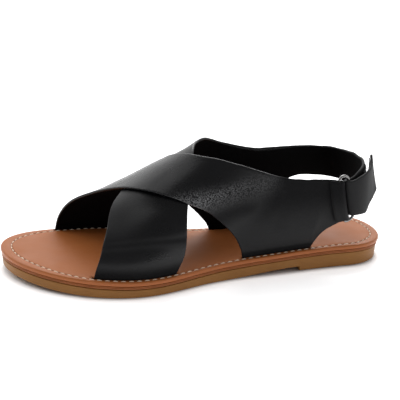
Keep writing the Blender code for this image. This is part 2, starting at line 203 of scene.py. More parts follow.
OUTLINE = (
    OutlineRow(0.0, 0.4, 30.4),
    OutlineRow(37.5, -1.0, 30.8),
    OutlineRow(80.0, 3.0, 29.9),
    OutlineRow(125.0, 4.4, 34.1),
    OutlineRow(145.0, 4.0, 41.0),
    OutlineRow(165.0, 3.0, 47.0),
    OutlineRow(183.0, 0.9, 48.5),
    OutlineRow(200.0, -1.0, 46.3),
    OutlineRow(251.5, -12.4, 41.8),
)
FOOTBED_TOP = (
    HeightRow(0.0, 14.7),
    HeightRow(45.0, 15.0),
    HeightRow(112.5, 12.2),
    HeightRow(170.0, 10.6),
    HeightRow(212.5, 12.3),
    HeightRow(251.5, 15.0),
)
LAST = (
    LastRow(0.0, 0.0, 150.0),
    LastRow(34.0, 0.0, 150.0),
    LastRow(60.0, 0.0, 140.0),
    LastRow(90.0, 1.5, 108.0),
    LastRow(110.0, 2.5, 85.0),
    LastRow(126.0, 3.0, 68.5),
    LastRow(140.0, 3.0, 60.5),
    LastRow(152.0, 3.0, 54.5),
    LastRow(171.0, 3.0, 44.2),
    LastRow(190.0, 3.0, 35.0),
    LastRow(215.0, 3.0, 28.2),
    LastRow(251.5, 3.0, 23.0),
)
SEAM = (
    StitchRow(0.0, 5.6, 5.0),
    StitchRow(12.0, 5.3, 3.9),
    StitchRow(25.0, 3.9, 3.5),
    StitchRow(60.0, 2.7, 3.4),
    StitchRow(100.0, 2.4, 3.6),
    StitchRow(150.0, 2.4, 3.6),
    StitchRow(195.0, 2.5, 3.8),
    StitchRow(215.0, 3.7, 4.6),
    StitchRow(235.0, 5.6, 5.8),
    StitchRow(251.5, 6.8, 6.8),
)

# Inner forefoot, over the instep, outer quarter, front bar of the ring
OVER_ROWS = (
    StrapRow(180.4, 183.6, 130.0, 183.6),
    StrapRow(178.5, 168.0, 128.5, 168.0),
    StrapRow(175.6, 156.0, 126.8, 152.0),
    StrapRow(170.5, 141.0, 124.0, 136.0, 0.0, 0.4),
    StrapRow(164.0, 125.0, 119.5, 121.0, 0.2, 1.2),
    StrapRow(155.0, 107.0, 112.5, 106.0, 1.0, 1.2),
    StrapRow(145.0, 89.0, 105.0, 92.0, 1.9, 1.2),
    StrapRow(133.8, 71.8, 97.0, 82.1, 2.9, 1.2),
    StrapRow(125.9, 64.0, 90.2, 77.5, 3.1, 0.5),
    StrapRow(118.6, 59.3, 82.5, 73.8, 3.0, 0.1),
    StrapRow(111.9, 56.4, 75.7, 71.4, 2.8, 0.0),
    StrapRow(105.2, 53.7, 69.3, 69.9, 2.2, 0.0),
    StrapRow(94.6, 50.3, 61.8, 68.2, 0.9, 0.0),
    StrapRow(87.5, 45.5, 55.3, 66.9, 0.1, 0.0),
    StrapRow(79.7, 37.2, 49.2, 65.7),
    StrapRow(74.2, 26.7, 44.1, 64.9),
    StrapRow(70.2, 10.3, 40.1, 64.3),
    StrapRow(68.0, -5.0, 36.5, 63.8),
    StrapRow(53.0, -5.0, 31.4, 63.4),
    StrapRow(38.0, -5.0, 26.3, 62.8),
    StrapRow(24.0, -5.0, 21.8, 62.5),
    StrapRow(21.5, 4.0, 18.9, 62.2),
    StrapRow(17.6, 15.8, 16.4, 62.0),
    StrapRow(12.9, 23.5, 13.4, 61.7),
    StrapRow(7.5, 28.0, 10.2, 61.4),
    StrapRow(3.0, 31.2, 7.4, 61.1),
    StrapRow(0.0, 35.0, 5.1, 60.8),
)
OVER_RETURN = (
    StrapRow(2.4, 33.9, 8.4, 61.1, 3.6, 3.6),
    StrapRow(6.0, 32.2, 12.0, 61.5, 2.2, 2.2),
)

# Outer forefoot, under the first strap, inner quarter, round the heel, rear bar of the ring
UNDER_ROWS = (
    StrapRow(165.4, -3.6, 116.8, -3.8),
    StrapRow(163.6, 5.6, 112.9, 5.6),
    StrapRow(160.7, 16.2, 109.6, 16.2),
    StrapRow(158.3, 26.0, 108.1, 27.4),
    StrapRow(155.0, 38.3, 107.2, 39.2),
    StrapRow(152.0, 53.3, 105.8, 50.9),
    StrapRow(148.1, 67.7, 103.0, 63.4),
    StrapRow(141.7, 81.2, 99.6, 76.6),
    StrapRow(135.5, 95.0, 96.5, 84.4),
    StrapRow(128.5, 107.0, 93.0, 92.5),
    StrapRow(120.0, 117.0, 89.5, 97.0),
    StrapRow(110.0, 126.5, 85.0, 99.8),
    StrapRow(101.3, 135.0, 79.5, 103.1),
    StrapRow(91.9, 145.0, 73.5, 105.5),
    StrapRow(85.6, 154.4, 69.0, 106.7),
    StrapRow(79.8, 167.7, 64.5, 107.7),
    StrapRow(75.2, 185.0, 60.0, 108.6),
    StrapRow(64.5, 185.2, 52.0, 110.0),
    StrapRow(54.0, 185.2, 45.0, 111.0),
    StrapRow(44.0, 185.2, 38.0, 111.5),
    StrapRow(40.0, 170.0, 32.5, 111.9),
    StrapRow(36.0, 155.0, 27.5, 112.2),
    StrapRow(31.5, 142.0, 22.5, 112.5),
    StrapRow(26.5, 132.0, 17.0, 112.8),
    StrapRow(21.0, 127.0, 12.0, 113.1),
    StrapRow(13.6, 126.0, 6.0, 113.4),
    StrapRow(1.5, 127.2, -3.0, 113.9),
    StrapRow(-8.0, 127.9, -11.6, 113.6),
    StrapRow(-18.0, 127.0, -21.5, 112.0),
    StrapRow(-28.0, 126.4, -31.0, 110.4),
    StrapRow(-38.0, 126.0, -41.0, 110.1),
    StrapRow(-48.0, 128.0, -51.5, 111.5),
    StrapRow(-58.0, 132.8, -62.5, 114.6),
    StrapRow(-70.9, 140.0, -74.8, 118.3),
)
UNDER_RETURN = (
    StrapRow(-63.6, 140.0, -67.1, 116.6, 4.6, 4.5),
    StrapRow(-59.2, 134.5, -61.6, 115.0, 4.7, 4.5),
    StrapRow(-51.6, 128.3, -54.1, 112.6, 7.0, 4.9),
    StrapRow(-44.2, 123.5, -46.1, 109.2, 11.0, 5.8),
)
PILE_ROWS = (
    StrapRow(-38.0, 126.0, -41.0, 110.1),
    StrapRow(-48.0, 128.0, -51.5, 111.5),
    StrapRow(-57.0, 132.2, -60.5, 114.1),
)
SLOTS = (
    Slot(129.5, 180.5, Side.INNER),
    Slot(114.4, 165.5, Side.OUTER),
    Slot(22.2, 69.0, Side.OUTER),
    Slot(42.3, 76.6, Side.INNER),
)


class NaturalCurve:
    """Cubic spline through points: slope and bend agree where spans meet, and both ends are unbent."""

    def __init__(self, xs: Sequence[float], ys: Sequence[float]) -> None:
        """Solve the bends at the points.

        Args:
            xs: Stations, rising.
            ys: Values at the stations.
        """
        self.xs = np.asarray(xs, float)
        self.ys = np.asarray(ys, float)
        self.gap = np.diff(self.xs)
        self.slope = np.diff(self.ys) / self.gap
        count = len(self.xs)
        inner = np.arange(1, count - 1)
        system = np.eye(count)
        system[inner, inner - 1] = self.gap[:-1]
        system[inner, inner] = 2 * (self.gap[:-1] + self.gap[1:])
        system[inner, inner + 1] = self.gap[1:]
        change = np.zeros(count)
        change[1:-1] = 6 * np.diff(self.slope)
        self.bend = np.linalg.solve(system, change)

    def __call__(self, x: np.ndarray) -> np.ndarray:
        """Work out the cubic of the span that each station is in.

        Args:
            x: Stations, any shape.

        Returns:
            The curve's values, in the same shape.
        """
        x = np.asarray(x, float)
        i = np.clip(np.searchsorted(self.xs, x) - 1, 0, len(self.gap) - 1)
        s = x - self.xs[i]
        lead = self.slope[i] - self.gap[i] * (2 * self.bend[i] + self.bend[i + 1]) / 6
        turn = (self.bend[i + 1] - self.bend[i]) / (6 * self.gap[i])
        return self.ys[i] + s * (lead + s * (self.bend[i] / 2 + s * turn))


class SteadyCurve:
    """Cubic through rows of columns whose slopes are harmonic means, so it never overshoots a row."""

    def __init__(self, xs: Sequence[float], rows: Sequence[Sequence[float]]) -> None:
        """Work out the slope of each column at each row.

        Args:
            xs: Places of the rows, rising.
            rows: Values of the columns at those places.
        """
        self.xs = np.asarray(xs, float)
        self.ys = np.asarray(rows, float)
        self.gap = np.diff(self.xs)[:, None]
        slope = np.diff(self.ys, axis=0) / self.gap
        before, after = slope[:-1], slope[1:]
        near = 2 * self.gap[1:] + self.gap[:-1]
        far = self.gap[1:] + 2 * self.gap[:-1]
        same_way = before * after > 0
        mean = (near + far) * before * after / np.where(same_way, near * after + far * before, 1.0)
        self.lead = np.concatenate([slope[:1], np.where(same_way, mean, 0.0), slope[-1:]])

    def __call__(self, x: np.ndarray) -> np.ndarray:
        """Work out the cubic between the two rows that each place is between.

        Args:
            x: Places, any shape.

        Returns:
            The columns at those places, in the shape of x with the columns last.
        """
        shape = np.shape(x)
        x = np.asarray(x, float).ravel()
        i = np.clip(np.searchsorted(self.xs, x) - 1, 0, len(self.gap) - 1)
        t = ((x - self.xs[i]) / self.gap[i, 0])[:, None]
        rest = 1 - t
        found = (self.ys[i] * (1 + 2 * t) * rest ** 2 + self.lead[i] * self.gap[i] * t * rest ** 2
                 + self.ys[i + 1] * t ** 2 * (3 - 2 * t) - self.lead[i + 1] * self.gap[i] * t ** 2 * rest)
        return found.reshape(*shape, -1)


def smooth_step(x: np.ndarray, low: float, high: float) -> np.ndarray:
    """Return 0 below low and 1 above high, with the cubic 3t^2 - 2t^3 between them."""
    t = np.clip((x - low) / (high - low), 0, 1)
    return t * t * (3 - 2 * t)


def plateau(x: np.ndarray, start: float, full: float, end: float, gone: float) -> np.ndarray:
    """Return 1 from full to end and 0 before start and after gone, with smooth steps between them."""
    return smooth_step(x, start, full) * smooth_step(-x, -gone, -end)


def unit(vectors: np.ndarray) -> np.ndarray:
    """Return vectors at length 1."""
    return vectors / np.linalg.norm(vectors, axis=-1, keepdims=True)


def run_length(points: np.ndarray) -> np.ndarray:
    """Return how far along a line of points each one is, as the sum of the steps before it."""
    return np.concatenate([[0], np.cumsum(np.linalg.norm(np.diff(points, axis=0), axis=1))])


@dataclass
class SolePlan:
    """Outline of the sole from above, and the heights of its faces."""

    length: float = 251.5
    heel_cap: float = 30.6
    heel_power: float = 2.18
    toe_cap: float = 58.5
    toe_power: float = 2.05
    heel_block_front: float = 63.5
    heel_step_slope: float = 0.5
    arch_rise: float = 2.8
    arch_end: float = 118.0
    spring_start: float = 180.0
    toe_spring: float = 4.1
    clearance: float = 0.3
    footbed_thickness: float = 2.8
    midsole_thickness: float = 1.9
    outline_spacing: float = 0.5
    centre: NaturalCurve = field(init=False)
    half_width: NaturalCurve = field(init=False)
    footbed_top: NaturalCurve = field(init=False)
    middle: float = field(init=False)

    def __post_init__(self) -> None:
        """Make the curves, and find the middle of the sole's width."""
        stations = [row.station for row in OUTLINE]
        self.centre = NaturalCurve(stations, [row.centre for row in OUTLINE])
        self.half_width = NaturalCurve(stations, [row.half_width for row in OUTLINE])
        self.footbed_top = NaturalCurve([row.station for row in FOOTBED_TOP],
                                        [row.height for row in FOOTBED_TOP])
        sides = self.loop(self.outline_spacing)[:, 1]
        self.middle = float(sides.min() + sides.max()) / 2

    def metres(self, points: np.ndarray) -> np.ndarray:
        """Return millimetres from the heel's back as metres in the frame of the solids."""
        return (np.asarray(points) - np.array([self.length / 2, self.middle, 0.0])) * MM

    def edge(self, x: np.ndarray) -> np.ndarray:
        """Work out the half width: the spline times a superellipse at heel and toe.

        Args:
            x: Stations.

        Returns:
            The half width at each station.
        """
        heel = np.clip((self.heel_cap - x) / self.heel_cap, 0, 1)
        toe = np.clip((x - self.length + self.toe_cap) / self.toe_cap, 0, 1)
        heel_share = (1 - heel ** self.heel_power) ** (1 / self.heel_power)
        toe_share = (1 - toe ** self.toe_power) ** (1 / self.toe_power)
        return self.half_width(x) * heel_share * toe_share

    def arch_share(self, x: np.ndarray) -> np.ndarray:
        """Return the share of the way from the heel block to the ball, as a squared quarter sine."""
        reach = np.clip((x - self.heel_block_front) / (self.arch_end - self.heel_block_front), 0, 1)
        return np.sin(reach * math.pi / 2) ** 2

    def tread(self, x: np.ndarray) -> np.ndarray:
        """Work out the underside: flat at heel block and ball, raised at the arch, and at the toe as a
        square.

        Args:
            x: Stations.

        Returns:
            The underside's height at each station.
        """
        arch = np.where(x > self.heel_block_front, self.arch_rise * (1 - self.arch_share(x)), 0.0)
        spring = np.clip((x - self.spring_start) / (self.length - self.spring_start), 0, 1)
        return arch + self.toe_spring * spring ** 2

    def midsole_top(self, x: np.ndarray) -> np.ndarray:
        """Return the height of the midsole's upper face."""
        return self.footbed_top(x) - self.footbed_thickness - self.clearance

    def outsole_top(self, x: np.ndarray) -> np.ndarray:
        """Return the height of the outsole's upper face."""
        return self.midsole_top(x) - self.midsole_thickness - self.clearance

    def stations(self, spacing: float) -> np.ndarray:
        """Choose stations from heel to toe: even steps between the round ends, and even turns in them.

        Args:
            spacing: Rough distance between neighbours along the outline.

        Returns:
            Rising stations, with two close ones at the heel block's front.
        """
        heel_turns = np.linspace(0, math.pi / 2, round(self.heel_cap * math.pi / 2 / spacing))
        toe_turns = np.linspace(0, math.pi / 2, round(self.toe_cap * math.pi / 2 / spacing))
        waist_end = self.length - self.toe_cap
        waist = np.linspace(self.heel_cap, waist_end, round((waist_end - self.heel_cap) / spacing))
        waist = waist[np.abs(waist - self.heel_block_front) > self.heel_step_slope]
        step = self.heel_block_front + self.heel_step_slope * np.array([-0.5, 0.5])
        heel = self.heel_cap * (1 - np.cos(heel_turns))
        toe = waist_end + self.toe_cap * np.sin(toe_turns)
        return np.unique(np.round(np.concatenate([heel, waist, step, toe]), 3))

    def loop(self, spacing: float) -> np.ndarray:
        """Go round the outline: from the heel up the outer side, over the toe and back.

        Args:
            spacing: Rough distance between neighbours.

        Returns:
            The outline's points, as x and y.
        """
        x = self.stations(spacing)
        half = self.edge(x)
        outer = np.stack([x, self.centre(x) + half], -1)
        inner = np.stack([x, self.centre(x) - half], -1)
        return np.concatenate([outer, inner[-2:0:-1]])

    @staticmethod
    def inward(loop: np.ndarray) -> np.ndarray:
        """Return the unit normals of a loop that point into it: its tangent turned a quarter right."""
        tangent = unit(np.roll(loop, -1, 0) - np.roll(loop, 1, 0))
        return np.stack([tangent[:, 1], -tangent[:, 0]], -1)


@dataclass
class Last:
    """Form of the foot that the straps lie on, as superellipse sections over the footbed.

    An angle goes from the outer feather edge, 0, over the ridge, 90, to the inner one, 180. A
    station is millimetres ahead of the heel axis, and below zero an arc turned round the heel.
    """

    plan: SolePlan
    outer_feather: float = 5.6
    inner_feather: float = 6.5
    power: float = 2.2
    heel_axis: float = 34.0
    heel_back: float = 14.5
    probe: float = 0.05
    sections: SteadyCurve = field(init=False)

    def __post_init__(self) -> None:
        """Make the curve of the sections."""
        self.sections = SteadyCurve([row.station for row in LAST],
                                    [(row.inward, row.ridge) for row in LAST])

    def radius(self, angle: np.ndarray, along: np.ndarray, up: np.ndarray) -> np.ndarray:
        """Return a superellipse's radius: the power mean of cosine over along and sine over up."""
        share = (np.abs(np.cos(angle)) / along) ** self.power + (np.abs(np.sin(angle)) / up) ** self.power
        return share ** (-1 / self.power)

    def point(self, station: np.ndarray, angle: np.ndarray) -> np.ndarray:
        """Find points on the last: the section's radius at the angle, turned round the heel.

        Args:
            station: Stations, any shape.
            angle: Angles in degrees, the same shape.

        Returns:
            Points with x, y and z in the last axis.
        """
        x = self.heel_axis + np.maximum(station, 0)
        inward, ridge = np.moveaxis(self.sections(x), -1, 0)
        edge = self.plan.edge(x)
        wide = np.where(angle <= 90, edge + inward - self.outer_feather, edge - self.inner_feather)
        turn = np.maximum(-station, 0) / (self.plan.half_width(self.heel_axis) - self.inner_feather)
        reach = self.radius(turn, wide, self.heel_axis - self.heel_back)
        side = np.where(angle <= 90, 1.0, -1.0)
        rise = np.radians(np.where(angle <= 90, angle, 180 - angle))
        radius = self.radius(rise, reach, ridge)
        across = radius * np.cos(rise)
        return np.stack([
            x - across * np.sin(turn),
            self.plan.centre(x) - inward + side * across * np.cos(turn),
            self.plan.footbed_top(x) + radius * np.sin(rise),
        ], -1)

    def stand_off(self, station: np.ndarray, angle: np.ndarray, lift: np.ndarray) -> np.ndarray:
        """Find points off the last, along its normal, which is the cross of its two tangents.

        Args:
            station: Stations, any shape.
            angle: Angles in degrees, the same shape.
            lift: Distance off the last, the same shape.

        Returns:
            Points with x, y and z in the last axis.
        """
        ahead = self.point(station + self.probe, angle) - self.point(station - self.probe, angle)
        around = self.point(station, angle + self.probe) - self.point(station, angle - self.probe)
        return self.point(station, angle) + np.asarray(lift)[..., None] * unit(np.cross(around, ahead))

    def across_row(self, rows: np.ndarray, share: np.ndarray, depth: float) -> np.ndarray:
        """Find points at shares of each row's width, at a depth outside the rows' own lift.

        Args:
            rows: Cut lines, one to a line, with StrapRow's six columns.
            share: Shares of the width from low edge to high edge, with rows in the first axis.
            depth: Distance outside the row's lift.

        Returns:
            Points, in the shape of share with x, y and z last.
        """
        low_station, low_angle, high_station, high_angle, low_lift, high_lift = rows.T[..., None]
        station = low_station + share * (high_station - low_station)
        angle = low_angle + share * (high_angle - low_angle)
        lift = low_lift + share * (high_lift - low_lift)
        return self.stand_off(station, angle, lift + depth)

    def middle_line(self, rows: np.ndarray, depth: float) -> np.ndarray:
        """Return the points half way over each row, at a depth outside the rows' own lift."""
        return self.across_row(rows, np.full((len(rows), 1), 0.5), depth)[:, 0]


def quad_grid(rows: int, columns: int, wrap: bool) -> np.ndarray:
    """List the corners of a grid's quads, row by row.

    Args:
        rows: Lines of the grid.
        columns: Points on a line.
        wrap: Whether the last column joins the first.

    Returns:
        Four point numbers to a quad.
    """
    index = np.arange(rows * columns).reshape(rows, columns)
    beside = np.roll(index, -1, axis=1)
    if not wrap:
        index, beside = index[:, :-1], beside[:, :-1]
    return np.stack([index[:-1], beside[:-1], beside[1:], index[1:]], -1).reshape(-1, 4)


def slab_quads(rows: int, columns: int) -> np.ndarray:
    """List the quads of a closed slab: two equal grids, one after the other, and the rim between.

    Args:
        rows: Lines of each grid.
        columns: Points on a line.

    Returns:
        Four point numbers to a quad.
    """
    face = quad_grid(rows, columns, False)
    index = np.arange(rows * columns).reshape(rows, columns)
    rim = np.concatenate([index[0, :-1], index[:-1, -1], index[-1, :0:-1], index[:0:-1, 0]])
    ahead = np.roll(rim, -1)
    lift = rows * columns
    wall = np.stack([rim, ahead, ahead + lift, rim + lift], -1)
    return np.concatenate([face[:, ::-1], face + lift, wall[:, ::-1]])


def repeat_quads(quads: np.ndarray, points: int, count: int) -> np.ndarray:
    """Return the quads of count equal shapes, one after the other, each with that many points."""
    return (quads + points * np.arange(count)[:, None, None]).reshape(-1, 4)


def cap_rings(ring: np.ndarray, count: int) -> np.ndarray:
    """Close a face: each point goes straight to the middle of itself and its mirror across the sole.

    Args:
        ring: Points round the face, in the order of the outline.
        count: Number of equal steps.

    Returns:
        Rings of points, one ring to a line, from the first step to the middle.
    """
    mirror = np.roll(ring[::-1], 1, axis=0)
    spine = (ring + mirror) / 2
    steps = np.linspace(0, 1, count + 1)[1:, None, None]
    return ring + steps * (spine - ring)


def make_piece(name: str, points: np.ndarray, quads: np.ndarray, finishes: Sequence[bpy.types.Material],
               coats: np.ndarray | None = None, values: Mapping[str, np.ndarray] | None = None,
               crease: float = 40.0) -> bpy.types.Object:
    """Put a surface worked out in metres into an object, welded and facing outwards.

    Args:
        name: Name of the piece.
        points: Places in metres, with x, y and z in the last axis.
        quads: Corners of the faces, by point number.
        finishes: Materials of the piece.
        coats: Material number of each face, or None where there is one material.
        values: Named numbers on the points for the materials to read.
        crease: Angle in degrees above which an edge is shaded sharp.

    Returns:
        The object, linked to the scene.
    """
    mesh = bpy.data.meshes.new(name)
    mesh.from_pydata(points.reshape(-1, 3).tolist(), [], quads.tolist())
    for key, numbers in (values or {}).items():
        mesh.attributes.new(key, "FLOAT", "POINT").data.foreach_set("value", numbers.astype(np.float32))
    for finish in finishes:
        mesh.materials.append(finish)
    if coats is not None:
        mesh.polygons.foreach_set("material_index", coats.astype(np.int32))
    shell = bmesh.new()
    shell.from_mesh(mesh)
    bmesh.ops.remove_doubles(shell, verts=shell.verts, dist=WELD)
    bmesh.ops.recalc_face_normals(shell, faces=shell.faces)
    shell.to_mesh(mesh)
    shell.free()
    mesh.shade_smooth()
    mesh.set_sharp_from_angle(angle=math.radians(crease))
    piece = bpy.data.objects.new(name, mesh)
    bpy.context.scene.collection.objects.link(piece)
    return piece


def ring_piece(name: str, grid: np.ndarray, finish: bpy.types.Material,
               values: Mapping[str, np.ndarray] | None = None) -> bpy.types.Object:
    """Make a piece of closed rings.

    Args:
        name: Name of the piece.
        grid: Points in metres, one ring to a line.
        finish: Material of the piece.
        values: Named numbers for the material to read, one to a ring.

    Returns:
        The object, linked to the scene.
    """
    rings, count = grid.shape[:2]
    spread = {key: np.repeat(numbers, count) for key, numbers in (values or {}).items()}
    return make_piece(name, grid, quad_grid(rings, count, True), [finish], values=spread)


def seat(piece: bpy.types.Object, slot: str | None, *nodes: str) -> None:
    """Ride a piece on the shoe, hide the solids it stands for, and report it.

    Args:
        piece: The piece.
        slot: Its material slot in the record, or None where it has none; not used.
        nodes: The solids that it stands for.
    """
    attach(piece, BODY)
    if nodes:
        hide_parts(*nodes)
    LOG.info("%s: %d faces", piece.name, len(piece.data.polygons))


class Wiring:
    """Adds nodes to a shader tree and joins them."""

    def __init__(self, tree: bpy.types.NodeTree) -> None:
        """Take the tree to work in."""
        self.tree = tree

    def feed(self, node: bpy.types.Node, values: Mapping[str | int, object]) -> None:
        """Set a node's inputs.

        Args:
            node: The node.
            values: Numbers, colours or output sockets for its inputs, by name or place.
        """
        for key, value in values.items():
            if isinstance(value, bpy.types.NodeSocket):
                self.tree.links.new(value, node.inputs[key])
            else:
                node.inputs[key].default_value = value

    def add(self, kind: str, values: Mapping[str | int, object] | None = None,
            **settings: object) -> bpy.types.Node:
        """Add a node.

        Args:
            kind: Blender's name of the node type, without its ShaderNode prefix.
            values: Numbers, colours or output sockets for its inputs, by name or place.
            settings: The node's own properties.

        Returns:
            The node.
        """
        node = self.tree.nodes.new("ShaderNode" + kind)
        for key, value in settings.items():
            setattr(node, key, value)
        self.feed(node, values or {})
        return node

    def place(self) -> bpy.types.NodeSocket:
        """Return the place on the piece, in metres."""
        return self.add("TexCoord").outputs["Object"]

    def own(self, name: str) -> bpy.types.NodeSocket:
        """Return one of the piece's own values by its name."""
        return self.add("Attribute", attribute_name=name).outputs["Fac"]

    def noise(self, scale: object, detail: float, roughness: float = 0.5) -> bpy.types.NodeSocket:
        """Return a noise over the piece, with its waves to a metre, its octaves and their falling off."""
        values = {"Vector": self.place(), "Scale": scale, "Detail": detail, "Roughness": roughness}
        return self.add("TexNoise", values).outputs["Fac"]

    def bump(self, depth: float, height: object) -> bpy.types.NodeSocket:
        """Return the normal that a height makes at a depth in millimetres."""
        return self.add("Bump", {"Distance": depth * MM, "Height": height}).outputs["Normal"]

    def blend(self, share: object, first: object, second: object) -> bpy.types.NodeSocket:
        """Return the mix of two colours by a share."""
        return self.add("Mix", {0: share, 6: first, 7: second}, data_type="RGBA").outputs[2]

    def ranged(self, value: object, *ends: object, way: str = "LINEAR") -> bpy.types.NodeSocket:
        """Bring a value from one pair of ends to another.

        Args:
            value: The value.
            ends: Its two ends, and the two that they go to.
            way: Blender's name of how it goes from end to end.

        Returns:
            The new value.
        """
        names = ("From Min", "From Max", "To Min", "To Max")
        return self.add("MapRange", {"Value": value, **dict(zip(names, ends))},
                        interpolation_type=way).outputs["Result"]

    def maths(self, operation: str, *values: object) -> bpy.types.NodeSocket:
        """Return what the Math node's operation makes of numbers or sockets."""
        return self.add("Math", dict(enumerate(values)), operation=operation).outputs[0]


def opaque(colour: Colour) -> tuple[float, float, float, float]:
    """Return a colour with full alpha."""
    return (*colour, 1.0)


def new_group(name: str, inputs: Mapping[str, object], outputs: Mapping[str, str]) -> tuple[
        Wiring, bpy.types.Node, bpy.types.Node]:
    """Start a shader node group.

    Args:
        name: Name of the group.
        inputs: Starting value of each input; four numbers make a colour, one a value.
        outputs: Socket type of each output.

    Returns:
        The group's wiring, its input node and its output node.
    """
    tree = bpy.data.node_groups.new(name, "ShaderNodeTree")
    for key, value in inputs.items():
        kind = "NodeSocketColor" if isinstance(value, tuple) else "NodeSocketFloat"
        tree.interface.new_socket(key, in_out="INPUT", socket_type=kind).default_value = value
    for key, kind in outputs.items():
        tree.interface.new_socket(key, in_out="OUTPUT", socket_type=kind)
    return Wiring(tree), tree.nodes.new("NodeGroupInput"), tree.nodes.new("NodeGroupOutput")


@dataclass(frozen=True)
class GrainEffect:
    """Grain of a hide: small cells with fine noise on them, and a slow noise for the gloss."""

    cells: float = 1000.0
    cell_span: tuple[float, float] = (0.1, 0.75)
    fine: float = 0.4
    fine_scale: float = 2600.0
    fine_detail: float = 2.0
    slow_scale: float = 70.0
    slow_detail: float = 4.0

    def group(self) -> bpy.types.NodeTree:
        """Make the group.

        Its height is the distance from the middles of the cells, turned round, plus the fine noise.
        Its fleck is the slow noise.

        Returns:
            The group, with the number of cells to a metre and the share of fine noise as inputs.
        """
        wires, source, target = new_group(
            "hide_grain", {"Cells": self.cells, "Fine": self.fine},
            {"Height": "NodeSocketFloat", "Fleck": "NodeSocketFloat"})
        cells = wires.add("TexVoronoi", {"Vector": wires.place(), "Scale": source.outputs["Cells"]},
                          feature="SMOOTH_F1").outputs["Distance"]
        pebble = wires.ranged(cells, *self.cell_span, 1.0, 0.0)
        fine = wires.noise(self.fine_scale, self.fine_detail)
        slow = wires.noise(self.slow_scale, self.slow_detail)
        wires.feed(target, {
            "Height": wires.maths("MULTIPLY_ADD", fine, source.outputs["Fine"], pebble),
            "Fleck": wires.ranged(slow, *NOISE_SPAN, 0.0, 1.0)})
        return wires.tree


@dataclass(frozen=True)
class MottleEffect:
    """Mottle: one colour that shows in soft patches and specks of another."""

    base: Colour = (0.5, 0.5, 0.5)
    patch: Colour = (0.4, 0.4, 0.4)
    scale: float = 40.0
    amount: float = 0.5
    detail: float = 6.0
    roughness: float = 0.62

    def group(self) -> bpy.types.NodeTree:
        """Make the group: a noise is the share of the patch colour, up to the amount.

        Returns:
            The group, with both colours, the scale and the amount as inputs.
        """
        wires, source, target = new_group(
            "mottle", {"Base": opaque(self.base), "Patch": opaque(self.patch), "Scale": self.scale,
                       "Amount": self.amount},
            {"Colour": "NodeSocketColor", "Share": "NodeSocketFloat"})
        noise = wires.noise(source.outputs["Scale"], self.detail, self.roughness)
        spread = wires.ranged(noise, *NOISE_SPAN, 0.0, 1.0)
        share = wires.maths("MULTIPLY", spread, source.outputs["Amount"])
        colour = wires.blend(share, source.outputs["Base"], source.outputs["Patch"])
        wires.feed(target, {"Colour": colour, "Share": share})
        return wires.tree


@dataclass
class Effects:
    """The shader groups that the finishes share."""

    grain: bpy.types.NodeTree = field(default_factory=GrainEffect().group)
    mottle: bpy.types.NodeTree = field(default_factory=MottleEffect().group)

    def grained(self, wires: Wiring, cells: float) -> bpy.types.Node:
        """Place the grain in a material, with its cells to a metre."""
        return wires.add("Group", {"Cells": cells}, node_tree=self.grain)

    def mottled(self, wires: Wiring, mottle: Mottle) -> bpy.types.Node:
        """Place the mottle in a material.

        Args:
            wires: The material's wiring.
            mottle: Its colours, scale and amount.

        Returns:
            The group's node.
        """
        return wires.add("Group", {
            "Base": opaque(mottle.base), "Patch": opaque(mottle.patch), "Scale": mottle.scale,
            "Amount": mottle.amount}, node_tree=self.mottle)


def new_finish(name: str, roughness: float, specular: float) -> tuple[
        bpy.types.Material, Wiring, bpy.types.Node]:
    """Start a material.

    Args:
        name: Name of the finish.
        roughness: Roughness all over.
        specular: Strength of its plain reflection.

    Returns:
        The material, its wiring and its shader.
    """
    material = bpy.data.materials.new(name)
    material.use_nodes = True
    shader = material.node_tree.nodes["Principled BSDF"]
    wires = Wiring(material.node_tree)
    wires.feed(shader, {"Roughness": roughness, "Specular IOR Level": specular})
    return material, wires, shader


@dataclass(frozen=True)
class HideFinish:
    """A leather: its colours, gloss and grain."""

    name: str
    mottle: Mottle
    roughness: float
    specular: float
    cells: float
    grain_depth: float
    gloss_change: float = 0.04
    dull_roughness: float = 1.0
    # colour of the painted highlight: the lighter, speckled sheen band
    painted_sheen: Colour = (0.21, 0.21, 0.215)
    open_depth: float = 0.3
    speck_span: tuple[float, float] = (0.45, 1.15)

    def material(self, effects: Effects) -> bpy.types.Material:
        """Make the material: mottled colour, grain as bump, gloss that follows the grain.

        The piece's own values deepen the grain and lighten it with a painted highlight, a speckled
        sheen, along one band, and take the polish off where it is creased, in the shade or going into the
        sole.

        Args:
            effects: The shared shader groups.

        Returns:
            The material.
        """
        material, wires, shader = new_finish(self.name, self.roughness, self.specular)
        mottle = effects.mottled(wires, self.mottle)
        grain = effects.grained(wires, self.cells)
        # share of the band that lightens the base colour as a painted highlight and deepens the grain
        grain_sheen = wires.own("grain_sheen")
        speck = wires.ranged(grain.outputs["Height"], *self.speck_span, 0.0, 1.0)
        sheen_share = wires.maths("MULTIPLY", grain_sheen, speck)
        deeper = wires.ranged(grain_sheen, 0.0, 1.0, 1.0, 1 + self.open_depth)
        height = wires.maths("MULTIPLY", grain.outputs["Height"], deeper)
        plain = wires.ranged(grain.outputs["Fleck"], 0.0, 1.0,
                             self.roughness - self.gloss_change, self.roughness + self.gloss_change)
        wires.feed(shader, {
            "Base Color": wires.blend(sheen_share, mottle.outputs["Colour"], opaque(self.painted_sheen)),
            "Roughness": wires.ranged(wires.own("dull"), 0.0, 1.0, plain, self.dull_roughness),
            "Normal": wires.bump(self.grain_depth, height)})
        return material


